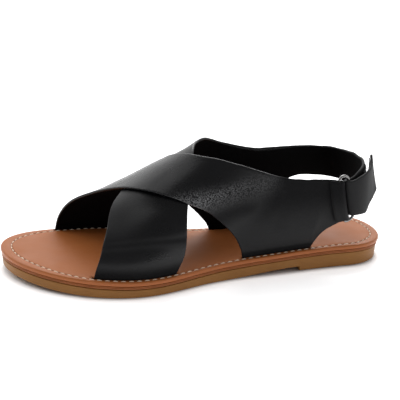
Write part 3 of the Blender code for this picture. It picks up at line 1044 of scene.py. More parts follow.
@dataclass(frozen=True)
class BedFinish:
    """The footbed's tan cover: top, burnished rim, and the seam groove darkened by painted shade."""

    name: str
    mottle: Mottle
    rim: Colour
    # darker colour of the seam groove: painted shade
    groove: Colour
    roughness: float
    specular: float
    cells: float
    grain_depth: float
    smoother: float = 0.05
    rougher: float = 0.06
    rim_roughness: float = 0.36

    def material(self, effects: Effects) -> bpy.types.Material:
        """Make the material: the top's mottle, with rim colour and painted groove shade by the piece's own
        values.

        Args:
            effects: The shared shader groups.

        Returns:
            The material.
        """
        material, wires, shader = new_finish(self.name, self.roughness, self.specular)
        mottle = effects.mottled(wires, self.mottle)
        grain = effects.grained(wires, self.cells)
        rim = wires.own("rim")
        edged = wires.blend(rim, mottle.outputs["Colour"], opaque(self.rim))
        plain = wires.ranged(grain.outputs["Fleck"], 0.0, 1.0,
                             self.roughness - self.smoother, self.roughness + self.rougher)
        wires.feed(shader, {
            # the seam groove's darker colour is painted shade
            "Base Color": wires.blend(wires.own("groove"), edged, opaque(self.groove)),
            "Roughness": wires.ranged(rim, 0.0, 1.0, plain, self.rim_roughness),
            "Normal": wires.bump(self.grain_depth, grain.outputs["Height"])})
        return material


@dataclass(frozen=True)
class BandFinish:
    """A sole layer's rubber or board: mottled, with fine lines drawn along its side."""

    name: str
    mottle: Mottle
    roughness: float
    specular: float
    lines: float
    line_depth: float
    line_waver: float = 1.2
    waver_detail: float = 2.0
    waver_scale: float = 0.4
    smoother: float = 0.05
    rougher: float = 0.08

    def material(self, effects: Effects) -> bpy.types.Material:
        """Make the material: mottled colour, and bump from bands stacked up the height.

        Args:
            effects: The shared shader groups.

        Returns:
            The material.
        """
        material, wires, shader = new_finish(self.name, self.roughness, self.specular)
        mottle = effects.mottled(wires, self.mottle)
        bands = wires.add("TexWave", {
            "Vector": wires.place(), "Scale": self.lines, "Distortion": self.line_waver,
            "Detail": self.waver_detail, "Detail Scale": self.waver_scale}, bands_direction="Z")
        wires.feed(shader, {
            "Base Color": mottle.outputs["Colour"],
            "Roughness": wires.ranged(mottle.outputs["Share"], 0.0, 1.0,
                                      self.roughness - self.smoother, self.roughness + self.rougher),
            "Normal": wires.bump(self.line_depth, bands.outputs["Fac"])})
        return material


@dataclass(frozen=True)
class FibreFinish:
    """Thread, pile or hooks: a soft fibre with a slight change of shade."""

    name: str
    mottle: Mottle
    roughness: float
    specular: float
    sheen: float
    twist_scale: float = 3500.0
    twist_detail: float = 2.0
    twist_depth: float = 0.05

    def material(self, effects: Effects) -> bpy.types.Material:
        """Make the material: mottled colour and a twisted fibre's bump.

        Args:
            effects: The shared shader groups.

        Returns:
            The material.
        """
        material, wires, shader = new_finish(self.name, self.roughness, self.specular)
        twist = wires.noise(self.twist_scale, self.twist_detail)
        wires.feed(shader, {
            "Sheen Weight": self.sheen,
            "Base Color": effects.mottled(wires, self.mottle).outputs["Colour"],
            "Normal": wires.bump(self.twist_depth, twist)})
        return material


@dataclass(frozen=True)
class NickelFinish:
    """Polished nickel wire with faint rubbing."""

    name: str
    mottle: Mottle
    roughness: float
    specular: float = 0.5
    rougher: float = 0.12

    def material(self, effects: Effects) -> bpy.types.Material:
        """Make the material: metal whose gloss changes with the mottle.

        Args:
            effects: The shared shader groups.

        Returns:
            The material.
        """
        material, wires, shader = new_finish(self.name, self.roughness, self.specular)
        mottle = effects.mottled(wires, self.mottle)
        wires.feed(shader, {
            "Metallic": 1.0,
            "Base Color": mottle.outputs["Colour"],
            "Roughness": wires.ranged(mottle.outputs["Share"], 0.0, 1.0, self.roughness,
                                      self.roughness + self.rougher)})
        return material


BLACK_LEATHER = HideFinish(
    "black_leather", Mottle((0.0024, 0.0024, 0.0030), (0.0036, 0.0036, 0.0043), 45.0, 0.6),
    roughness=0.27, specular=0.31, cells=1350.0, grain_depth=0.05)
BLACK_LINING = HideFinish(
    "black_lining", Mottle((0.0014, 0.0014, 0.0018), (0.0026, 0.0026, 0.0030), 45.0, 0.6),
    roughness=0.80, specular=0.08, cells=1500.0, grain_depth=0.04)
TAN_COVER = BedFinish(
    "tan_cover", Mottle((0.36, 0.112, 0.027), (0.30, 0.088, 0.019), 28.0, 0.7),
    rim=(0.36, 0.112, 0.032), groove=(0.20, 0.062, 0.017),
    roughness=0.58, specular=0.22, cells=1300.0, grain_depth=0.03)
BROWN_BOARD = BandFinish(
    "brown_board", Mottle((0.33, 0.108, 0.032), (0.25, 0.080, 0.024), 60.0, 0.8),
    roughness=0.50, specular=0.25, lines=500.0, line_depth=0.06)
GUM_RUBBER = BandFinish(
    "gum_rubber", Mottle((0.27, 0.120, 0.030), (0.225, 0.097, 0.023), 60.0, 0.8),
    roughness=0.48, specular=0.18, lines=260.0, line_depth=0.04)
CREAM_THREAD = FibreFinish(
    "cream_thread", Mottle((0.94, 0.80, 0.64), (0.86, 0.68, 0.50), 900.0, 0.8),
    roughness=0.65, specular=0.20, sheen=0.10)
BLACK_PILE = FibreFinish(
    "black_pile", Mottle((0.008, 0.008, 0.009), (0.018, 0.018, 0.020), 900.0, 0.8),
    roughness=0.90, specular=0.15, sheen=0.25)
BLACK_HOOKS = FibreFinish(
    "black_hooks", Mottle((0.007, 0.007, 0.008), (0.013, 0.013, 0.014), 900.0, 0.8),
    roughness=0.55, specular=0.30, sheen=0.0)
BRIGHT_NICKEL = NickelFinish(
    "bright_nickel", Mottle((0.27, 0.265, 0.26), (0.20, 0.195, 0.19), 300.0, 0.6), roughness=0.20)


@dataclass
class SoleLayers:
    """The gum outsole and the brown midsole, lofted through insets of the outline."""

    plan: SolePlan
    spacing: float = 0.9
    tread_border: tuple[float, float] = (5.5, 7.1)
    tread_pitch: float = 4.6
    tread_depth: float = 0.45
    tread_slant: float = 0.35
    tread_groove: tuple[float, float] = (0.35, 0.75)
    tread_rings: int = 22
    plain_rings: int = 3
    heel_field: tuple[float, float, float, float] = (6.0, 9.0, 53.0, 56.0)
    fore_field: tuple[float, float, float, float] = (122.0, 128.0, 228.0, 236.0)
    midsole_levels: Sequence[RimLevel] = (
        RimLevel(1.2, 1.1, 0.0, 0.0),
        RimLevel(0.88, 0.78, 0.0, 0.12),
        RimLevel(0.7, 0.6, 0.0, 0.42),
        RimLevel(0.7, 0.6, 0.5, -0.2),
        RimLevel(0.98, 0.88, 0.5, 0.0),
        RimLevel(0.7, 0.6, 0.5, 0.2),
        RimLevel(0.7, 0.6, 1.0, -0.42),
        RimLevel(0.88, 0.78, 1.0, -0.12),
        RimLevel(1.2, 1.1, 1.0, 0.0),
    )
    outsole_levels: Sequence[RimLevel] = (
        RimLevel(3.0, 1.8, 0.0, 0.0),
        RimLevel(2.4, 1.3, 0.0, 0.18),
        RimLevel(1.95, 0.95, 0.0, 0.6),
        RimLevel(1.8, 0.85, 0.0, 1.0),
        RimLevel(1.4, 0.7, 1.0, -1.7),
        RimLevel(1.15, 0.6, 1.0, -0.85),
        RimLevel(1.1, 0.6, 1.0, -0.4),
        RimLevel(1.2, 0.7, 1.0, -0.12),
        RimLevel(1.5, 1.0, 1.0, 0.0),
    )

    def rings(self, loop: np.ndarray, levels: Sequence[RimLevel], lower: np.ndarray,
              upper: np.ndarray) -> np.ndarray:
        """Make a layer's side: each ring is the outline moved in by its inset, at its height.

        Args:
            loop: The outline.
            levels: Levels from the lower face to the upper one.
            lower: Height of the lower face round the loop.
            upper: Height of the upper face round the loop.

        Returns:
            Rings of points, one ring to a line.
        """
        heel, fore, share, rise = np.array(levels).T[..., None]
        inset = heel + (fore - heel) * self.plan.arch_share(loop[:, 0])
        place = loop + inset[..., None] * self.plan.inward(loop)
        height = lower + share * (upper - lower) + rise
        return np.concatenate([place, height[..., None]], -1)

    def relief(self, points: np.ndarray, border: np.ndarray) -> np.ndarray:
        """Work out the tread: slanted grooves, as a raised cosine, in two fields inside a plain border.

        Args:
            points: Points of the underside.
            border: Share of the way past the border at each point.

        Returns:
            How far each point is cut up into the rubber.
        """
        x = points[..., 0]
        slant = self.tread_slant * np.abs(points[..., 1] - self.plan.centre(x))
        wave = 0.5 + 0.5 * np.cos(2 * math.pi * (x + slant) / self.tread_pitch)
        fields = plateau(x, *self.heel_field) + plateau(x, *self.fore_field)
        return self.tread_depth * smooth_step(wave, *self.tread_groove) * fields * border

    def layer(self, name: str, node: str, side: np.ndarray, under: np.ndarray,
              finish: bpy.types.Material) -> None:
        """Make a layer with a plain upper face, and seat it.

        Args:
            name: Name of the piece.
            node: The solid that it stands for.
            side: Rings of its side, from the lower face up.
            under: Rings of its underside, from the edge to the middle.
            finish: Its material.
        """
        over = cap_rings(side[-1], self.plain_rings)
        grid = np.concatenate([under[::-1], side, over])
        seat(ring_piece(name, self.plan.metres(grid), finish), node, node)

    def build(self, effects: Effects) -> None:
        """Make both layers and seat them.

        Args:
            effects: The shared shader groups.
        """
        loop = self.plan.loop(self.spacing)
        x = loop[:, 0]
        side = self.rings(loop, self.outsole_levels, self.plan.tread(x), self.plan.outsole_top(x))
        under = cap_rings(side[0], self.tread_rings)
        reach = np.linalg.norm(under[..., :2] - side[0, :, :2], axis=-1)
        under[..., 2] += self.relief(under, smooth_step(reach, *self.tread_border))
        self.layer("gum_outsole", "outsole", side, under, GUM_RUBBER.material(effects))

        top = self.plan.midsole_top(x)
        band = self.rings(loop, self.midsole_levels, top - self.plan.midsole_thickness, top)
        under = cap_rings(band[0], self.plain_rings)
        self.layer("scored_midsole", "midsole", band, under, BROWN_BOARD.material(effects))


@dataclass
class Footbed:
    """The tan footbed with its rounded rim, strap slots and sewn seam."""

    plan: SolePlan
    last: Last
    spacing: float = 1.1
    leather: float = LEATHER
    slot_room: float = 0.3
    slot_end_room: float = 0.6
    slot_angles: Sequence[float] = (-9.0, -4.5, 0.0, 4.5, 9.0)
    slot_points: int = 41
    top_rings: int = 9
    under_rings: int = 2
    seam_spacing: float = 0.4
    seam_blend: float = 18.0
    stitch_pitch: float = 4.8
    stitch_length: float = 3.7
    stitch_radius: float = 0.36
    stitch_taper: float = 0.45
    stitch_depth: float = 0.12
    stitch_dip: float = 0.798
    stitch_bow: float = 0.5
    stitch_rows: int = 8
    stitch_sides: int = 6
    levels: Sequence[BedLevel] = (
        BedLevel(0.7, 0.0, 0.0, 0.0, 1.0, 0.0),
        BedLevel(0.3, 0.0, 0.0, 0.14, 1.0, 0.0),
        BedLevel(0.08, 0.0, 0.0, 0.5, 1.0, 0.0),
        BedLevel(0.0, 0.0, 0.0, 0.9, 1.0, 0.0),
        BedLevel(0.0, 0.0, 1.0, -1.0, 1.0, 0.0),
        BedLevel(0.05, 0.0, 1.0, -0.72, 0.9, 0.0),
        BedLevel(0.17, 0.0, 1.0, -0.46, 0.7, 0.0),
        BedLevel(0.36, 0.0, 1.0, -0.24, 0.5, 0.0),
        BedLevel(0.62, 0.0, 1.0, -0.09, 0.35, 0.0),
        BedLevel(0.95, 0.0, 1.0, -0.01, 0.25, 0.0),
        BedLevel(-0.9, 1.0, 1.0, 0.0, 0.15, 0.0),
        BedLevel(-0.62, 1.0, 1.0, -0.06, 0.1, 0.3),
        BedLevel(-0.36, 1.0, 1.0, -0.24, 0.0, 0.85),
        BedLevel(0.0, 1.0, 1.0, -0.32, 0.0, 1.0),
        BedLevel(0.36, 1.0, 1.0, -0.24, 0.0, 0.85),
        BedLevel(0.62, 1.0, 1.0, -0.06, 0.0, 0.3),
        BedLevel(0.95, 1.0, 1.0, 0.0, 0.0, 0.0),
    )
    seam: SteadyCurve = field(init=False)

    def __post_init__(self) -> None:
        """Make the curve of the seam's insets."""
        self.seam = SteadyCurve([row.station for row in SEAM], [(row.outer, row.inner) for row in SEAM])

    def seam_inset(self, loop: np.ndarray) -> np.ndarray:
        """Work out the seam's inset: the outer column on one side, the inner on the other, and their
        mean at the tips.

        Args:
            loop: The outline.

        Returns:
            The inset round the loop.
        """
        outer, inner = self.seam(loop[:, 0]).T
        half = self.plan.edge(loop[:, 0])
        across = np.clip((loop[:, 1] - self.plan.centre(loop[:, 0])) / np.maximum(half, TINY), -1, 1)
        lean = across * smooth_step(half, 0.0, self.seam_blend)
        return outer * (1 + lean) / 2 + inner * (1 - lean) / 2

    def rings(self, loop: np.ndarray) -> np.ndarray:
        """Make the side, rim and groove: each ring is the outline moved in by its level's inset.

        Args:
            loop: The outline.

        Returns:
            Rings of points, one ring to a line.
        """
        inset, from_seam, share, rise, _, _ = np.array(self.levels).T[..., None]
        place = loop + (inset + from_seam * self.seam_inset(loop))[..., None] * self.plan.inward(loop)
        top = self.plan.footbed_top(np.clip(place[..., 0], 0, self.plan.length))
        height = top - (1 - share) * self.plan.footbed_thickness + rise
        return np.concatenate([place, height[..., None]], -1)

    def slot_cutter(self) -> bpy.types.Object:
        """Make the four slots as solids: strips of the last, thickened by the leather and its room.

        Returns:
            One object with all four.
        """
        shape = (self.slot_points, len(self.slot_angles))
        solids = []
        for slot in SLOTS:
            run = np.linspace(slot.rear - self.slot_end_room, slot.front + self.slot_end_room,
                              self.slot_points)
            angles = np.array(self.slot_angles)
            if slot.side is Side.INNER:
                angles = 180 - angles
            station, angle = np.meshgrid(run, angles, indexing="ij")
            solids.append([self.last.stand_off(station, angle, np.full(shape, lift))
                           for lift in (-self.slot_room, self.leather + self.slot_room)])
        every = repeat_quads(slab_quads(*shape), 2 * shape[0] * shape[1], len(SLOTS))
        return make_piece("slot_cutter", self.plan.metres(solids), every, [])

    @staticmethod
    def cut(piece: bpy.types.Object, cutter: bpy.types.Object) -> None:
        """Cut a solid out of a piece for good, and delete the solid.

        Args:
            piece: The piece.
            cutter: The solid.
        """
        boolean = piece.modifiers.new("slots", "BOOLEAN")
        boolean.operation = "DIFFERENCE"
        boolean.solver = "EXACT"
        boolean.object = cutter
        graph = bpy.context.evaluated_depsgraph_get()
        done = bpy.data.meshes.new_from_object(piece.evaluated_get(graph), preserve_all_data_layers=True,
                                               depsgraph=graph)
        piece.modifiers.remove(boolean)
        piece.data = done
        bpy.data.objects.remove(cutter)

    def stitches(self) -> tuple[np.ndarray, np.ndarray]:
        """Make the seam's stitches: tubes bowed along the seam line, thin and sunk at both ends.

        Returns:
            Points, and quads of the tubes and their six-sided ends.
        """
        loop = self.plan.loop(self.seam_spacing)
        line = loop + self.seam_inset(loop)[:, None] * self.plan.inward(loop)
        line = np.concatenate([line, line[:1]])
        along = run_length(line)
        count = round(along[-1] / self.stitch_pitch)
        share = np.linspace(0, 1, self.stitch_rows)
        mark = np.arange(count)[:, None] * along[-1] / count + share * self.stitch_length
        x, y = (np.interp(mark, along, line[:, axis], period=along[-1]) for axis in (0, 1))
        bow = np.sin(math.pi * share) ** self.stitch_bow
        z = self.plan.footbed_top(x) + self.stitch_dip * (bow - 1) - self.stitch_depth
        centre = np.stack([x, y, z], -1)
        ahead = unit(np.gradient(centre, axis=1))
        beside = unit(np.cross(UPWARD, ahead))
        upward = np.cross(ahead, beside)
        turn = np.linspace(0, 2 * math.pi, self.stitch_sides, endpoint=False)
        radius = self.stitch_radius * (self.stitch_taper + (1 - self.stitch_taper) * bow)
        ring = np.cos(turn)[:, None] * beside[:, :, None] + np.sin(turn)[:, None] * upward[:, :, None]
        points = centre[:, :, None] + radius[:, None, None] * ring
        tube = quad_grid(self.stitch_rows, self.stitch_sides, True)
        end = np.array([[0, 1, 2, 3], [3, 4, 5, 0]])
        quads = np.concatenate([tube, end[:, ::-1], end + (self.stitch_rows - 1) * self.stitch_sides])
        return points, repeat_quads(quads, self.stitch_rows * self.stitch_sides, count)

    def build(self, effects: Effects) -> None:
        """Make the footbed and its stitches and seat them.

        Args:
            effects: The shared shader groups.
        """
        side = self.rings(self.plan.loop(self.spacing))
        over = cap_rings(side[-1], self.top_rings)
        under = cap_rings(side[0], self.under_rings)
        grid = np.concatenate([under[::-1], side, over])
        ends = (len(under), len(over))
        values = {
            "rim": np.pad([level.rim for level in self.levels], ends, constant_values=(1.0, 0.0)),
            # share of the seam groove's painted shade
            "groove": np.pad([level.groove for level in self.levels], ends),
        }
        bed = ring_piece("stitched_footbed", self.plan.metres(grid), TAN_COVER.material(effects), values)
        self.cut(bed, self.slot_cutter())
        seat(bed, "footbed", "footbed")
        points, quads = self.stitches()
        thread = make_piece("footbed_stitches", self.plan.metres(points), quads,
                            [CREAM_THREAD.material(effects)])
        seat(thread, None)


@dataclass
class Strap:
    """A leather strap: a rounded section carried along its cut lines, with its end folded back."""

    plan: SolePlan
    last: Last
    name: str
    rows: Sequence[StrapRow]
    returning: Sequence[StrapRow]
    corner: float
    leather: float = LEATHER
    edge_radius: float = 0.7
    edge_steps: int = 4
    end_thinning: float = 0.75
    columns: int = 40
    spacing: float = 1.0
    fold_radius: float = FOLD_RADIUS
    fold_steps: int = 8
    ripple: float = 0.05
    waves: Sequence[Wave] = (
        Wave(1.0, 9.0, 13.0, 0.0),
        Wave(0.7, 5.3, -7.7, 1.1),
        Wave(0.5, 14.0, 4.9, 2.3),
    )
    calm_start: tuple[float, float] = (4.0, 20.0)
    calm_end: tuple[float, float] = (4.0, 30.0)
    belly: float = 2.5
    belly_peak: float = 26.0
    belly_top: float = 46.0
    belly_run: tuple[float, float] = (-30.0, 72.0)
    belly_ramp: float = 25.0
    belly_power: float = 0.6
    belly_edge: float = 0.4
    flatness: float = 0.0
    flat_height: tuple[float, float] = (2.0, 30.0)
    # band of painted highlight, a lighter speckled sheen, with deeper grain
    grain_sheen_band: Mark | None = None
    crease: Mark | None = None
    crease_depth: float = 0.12
    shade: Mark | None = None
    dull_height: tuple[float, float] = (2.5, 6.5)
    rear_run: tuple[float, float] = (150.0, 174.0)
    rear_dull: float = 0.0
    upper_dull: float = 0.0
    upper_height: tuple[float, float] = (18.0, 39.0)
    probe: float = 0.004

    def cut_lines(self) -> np.ndarray:
        """List the rows, a half turn of the fold radius round the ring's bar, and the returning rows.

        Returns:
            Cut lines, one to a line, with StrapRow's six columns.
        """
        run = np.array(self.rows)
        turn = math.pi * np.arange(1, self.fold_steps + 1) / self.fold_steps
        fold = np.repeat(run[-1:], self.fold_steps, axis=0)
        fold[:, [0, 2]] -= self.fold_radius * np.sin(turn)[:, None]
        fold[:, [4, 5]] += self.fold_radius * (1 - np.cos(turn))[:, None]
        return np.concatenate([run, fold, np.array(self.returning)])

    def close_lines(self) -> tuple[np.ndarray, np.ndarray]:
        """Set cut lines close together: the six columns follow a steady curve over the length of the
        strap's middle line.

        Returns:
            The cut lines, and whether each is in the run before the fold.
        """
        lines = self.cut_lines()
        along = run_length(self.last.middle_line(lines, self.leather / 2))
        parts = np.maximum(2, np.ceil(np.diff(along) / self.spacing)).astype(int)
        spans = zip(along[:-1], along[1:], parts)
        marks = np.concatenate([[0.0], *(np.linspace(a, b, n + 1)[1:] for a, b, n in spans)])
        return SteadyCurve(along, lines)(marks), marks <= along[len(self.rows) - 1]

    def section(self) -> tuple[np.ndarray, np.ndarray, np.ndarray]:
        """Make the section's loop: outer face and inner face joined by quarter-round edges.

        Returns:
            Each point's share of the width, its distance from that share towards the middle, and
            its depth from the middle of the leather.
        """
        turn = np.linspace(0, math.pi / 2, self.edge_steps + 1)
        inset = self.edge_radius * (1 - np.cos(turn))
        depth = self.leather / 2 - self.edge_radius * (1 - np.sin(turn))
        flat = np.linspace(0, 1, self.columns + 1)[1:-1]
        share = np.concatenate([np.zeros_like(turn), flat, np.ones_like(turn)])
        shift = np.concatenate([inset, self.edge_radius * (1 - 2 * flat), -inset[::-1]])
        out = np.concatenate([depth, np.full_like(flat, self.leather / 2), depth[::-1]])
        there_and_back = ((share, share), (shift, shift), (out, -out))
        return tuple(np.concatenate([there, back[::-1]]) for there, back in there_and_back)

    def surface(self) -> tuple[np.ndarray, dict[str, np.ndarray], np.ndarray]:
        """Make the strap as a grid: its section set square to its middle surface, row by row.

        A point is the middle surface at its row and share, moved along the surface's own normal by
        its depth. Near the free end the section gets thinner and narrower along a quarter round.

        Returns:
            Points, the values of each point for its finish, and which rows come before the fold.
        """
        lines, before_fold = self.close_lines()
        share, shift, depth = self.section()
        middle = self.leather / 2
        ends = self.last.across_row(lines, np.tile([0.0, 1.0], (len(lines), 1)), middle)
        chord = (ends[:, 1] - ends[:, 0])[:, None]
        width = np.linalg.norm(chord, axis=-1)
        along = run_length(self.last.middle_line(lines, middle))[:, None]
        to_end = along[-1] - along
        left = np.clip(1 - to_end / self.corner, 0, 1)
        margin = self.corner * (1 - np.sqrt(1 - left ** 2))
        thin = np.clip(1 - to_end / self.edge_radius, 0, 1)
        thickness = 1 - self.end_thinning * (1 - np.sqrt(1 - thin ** 2))
        place = share + (shift + (1 - 2 * share) * margin) / width
        surface = self.last.across_row(lines, place, middle)
        across = (self.last.across_row(lines, place + self.probe, middle)
                  - self.last.across_row(lines, place - self.probe, middle))
        height = surface[..., 2] - self.plan.footbed_top(surface[..., 0])
        flat = (self.flatness * self.run_share(along) * smooth_step(height, *self.flat_height))[..., None]
        surface = surface + flat * (ends[:, :1] + place[..., None] * chord - surface)
        across = across + flat * (2 * self.probe * chord - across)
        normal = unit(np.cross(np.gradient(surface, axis=0), across))
        over = place * width
        lift = (depth * thickness + self.rippled(along, over, to_end) + self.swell(height, along, place)
                - self.crease_depth * self.marked(self.crease, along, over))
        start = (surface[0] - self.last.across_row(lines[:1], place[:1], 0.0)[0]) * normal[0]
        points = surface + np.sign(start.sum())[..., None] * lift[..., None] * normal
        values = {
            # share of the painted highlight band
            "grain_sheen": (self.marked(self.grain_sheen_band, along, over) * (depth > 0)).ravel(),
            "dull": self.dulled(height, along, over).ravel(),
        }
        return points, values, before_fold

    @staticmethod
    def marked(mark: Mark | None, along: np.ndarray, over: np.ndarray) -> np.ndarray:
        """Work out a mark's share at each point: a bell round its line that fades over the width.

        Args:
            mark: The mark, or None for 0 all over.
            along: Distance along the strap.
            over: Distance across the strap.

        Returns:
            The share at each point.
        """
        if mark is None:
            return np.zeros_like(over)
        line = mark.start + mark.slope * over + mark.curve * over ** 2
        fading = 1 - smooth_step(over, mark.fade, mark.gone)
        return mark.strength * fading * np.exp(-((along - line) / mark.half) ** 2)

    def rippled(self, along: np.ndarray, over: np.ndarray, to_end: np.ndarray) -> np.ndarray:
        """Work out the leather's faint ripple: a sum of slanted sines, calm at both ends of the strap.

        Args:
            along: Distance along the strap.
            over: Distance across the strap.
            to_end: Distance to the free end.

        Returns:
            The ripple's height at each point.
        """
        sines = sum(wave.weight * np.sin(along / wave.along + over / wave.over + wave.phase)
                    for wave in self.waves)
        calm = smooth_step(to_end, *self.calm_end) * smooth_step(along, *self.calm_start)
        return self.ripple * sines * calm

    def dulled(self, height: np.ndarray, along: np.ndarray, over: np.ndarray) -> np.ndarray:
        """Work out where the polish is off: the most of the crease, the shade, the rear part, more so
        high up, and the foot of the strap.

        Args:
            height: Height of each point over the footbed.
            along: Distance along the strap.
            over: Distance across the strap.

        Returns:
            The share of polish that is off at each point.
        """
        upper = smooth_step(height, *self.upper_height) * (self.upper_dull - self.rear_dull)
        rear = (self.rear_dull + upper) * smooth_step(along, *self.rear_run)
        foot = 1 - smooth_step(height, *self.dull_height)
        marks = [self.marked(mark, along, over) for mark in (self.crease, self.shade)]
        return np.maximum.reduce([*marks, rear, foot])

    def run_share(self, along: np.ndarray) -> np.ndarray:
        """Return 1 on the part of the strap that is seen on the outer side, fading to 0 past it."""
        start, end = self.belly_run
        return plateau(along, start, start + self.belly_ramp, end - self.belly_ramp, end)

    def swell(self, height: np.ndarray, along: np.ndarray, place: np.ndarray) -> np.ndarray:
        """Work out how far the leather bows out on the outer side, most in the middle of its width.

        It grows as a power of a quarter sine from the footbed to its peak, falls as a raised cosine
        to its top, and fades in and out along the strap.

        Args:
            height: Height of each point over the footbed.
            along: Distance of each row along the strap.
            place: Shares of the width.

        Returns:
            The bow at each point.
        """
        grow = np.sin(math.pi / 2 * np.clip(height / self.belly_peak, 0, 1)) ** self.belly_power
        past = np.clip((height - self.belly_peak) / (self.belly_top - self.belly_peak), 0, 1)
        bulge = np.sin(math.pi * np.clip(place, 0, 1)) ** 2
        middle = self.belly_edge + (1 - self.belly_edge) * bulge
        return self.belly * self.run_share(along) * middle * grow * (0.5 + 0.5 * np.cos(math.pi * past))

    def build(self, finishes: Sequence[bpy.types.Material]) -> None:
        """Make the strap, with lining on its inner face before the fold, and seat it.

        Args:
            finishes: Materials, in the order of Coat.
        """
        points, values, before_fold = self.surface()
        rows, loop = points.shape[:2]
        half = loop // 2
        tube = quad_grid(rows, loop, True)
        first = np.arange(half - 1)
        end = np.stack([first, first + 1, loop - 2 - first, loop - 1 - first], -1)
        quads = np.concatenate([tube, end, end + (rows - 1) * loop])
        inner = np.zeros((rows - 1, loop), bool)
        inner[:, half + self.edge_steps:loop - self.edge_steps - 1] = True
        lined = (inner & before_fold[1:, None]).ravel()
        coats = np.where(np.pad(lined, (0, len(quads) - len(tube))), Coat.LINING, Coat.LEATHER)
        piece = make_piece(self.name, self.plan.metres(points), quads, finishes, coats, values)
        seat(piece, "upper", "upper")


@dataclass
class UnderStrap(Strap):
    """The strap from the outer forefoot, under the other one, to the inner quarter and round the heel."""

    name: str = "under_strap"
    rows: Sequence[StrapRow] = UNDER_ROWS
    returning: Sequence[StrapRow] = UNDER_RETURN
    corner: float = 0.9
    flatness: float = 0.6
    crease: Mark | None = Mark(start=23.7, half=3.0, strength=0.85, fade=52.0, gone=60.0, slope=0.07)
    shade: Mark | None = Mark(start=46.0, half=18.0, strength=0.7, fade=6.0, gone=30.0)
    dull_height: tuple[float, float] = (2.5, 11.0)
    rear_run: tuple[float, float] = (250.0, 275.0)
    rear_dull: float = 0.6
    upper_dull: float = 0.6


@dataclass
class OverStrap(Strap):
    """The strap from the inner forefoot, over the instep, to the outer quarter and the ring."""

    name: str = "over_strap"
    rows: Sequence[StrapRow] = OVER_ROWS
    returning: Sequence[StrapRow] = OVER_RETURN
    corner: float = 1.0
    belly: float = 2.4
    belly_peak: float = 16.0
    belly_top: float = 62.0
    belly_run: tuple[float, float] = (130.0, 236.0)
    # painted highlight: a lighter, speckled sheen band where the strap bends onto the quarter, with deeper
    # grain
    grain_sheen_band: Mark | None = Mark(start=134.0, half=8.5, strength=1.0, fade=-8.0, gone=56.0, curve=0.015)
    crease: Mark | None = Mark(start=153.0, half=8.0, strength=0.8, fade=18.0, gone=46.0, curve=0.013)
    rear_dull: float = 0.5
    upper_dull: float = 1.0


class Tape(NamedTuple):
    """A fastening tape: its piece and its node, the cut lines it lies on and its rise off them, its
    inner and outer face, its finish, and its fibres: where their feet are, their height, which is
    below zero on the inner face, their gap, and the share of a half ellipse that each goes through."""

    name: str
    node: str
    rows: Sequence[StrapRow]
    rise: float
    inner: float
    outer: float
    finish: FibreFinish
    foot: float
    height: float
    gap: float
    closed: float


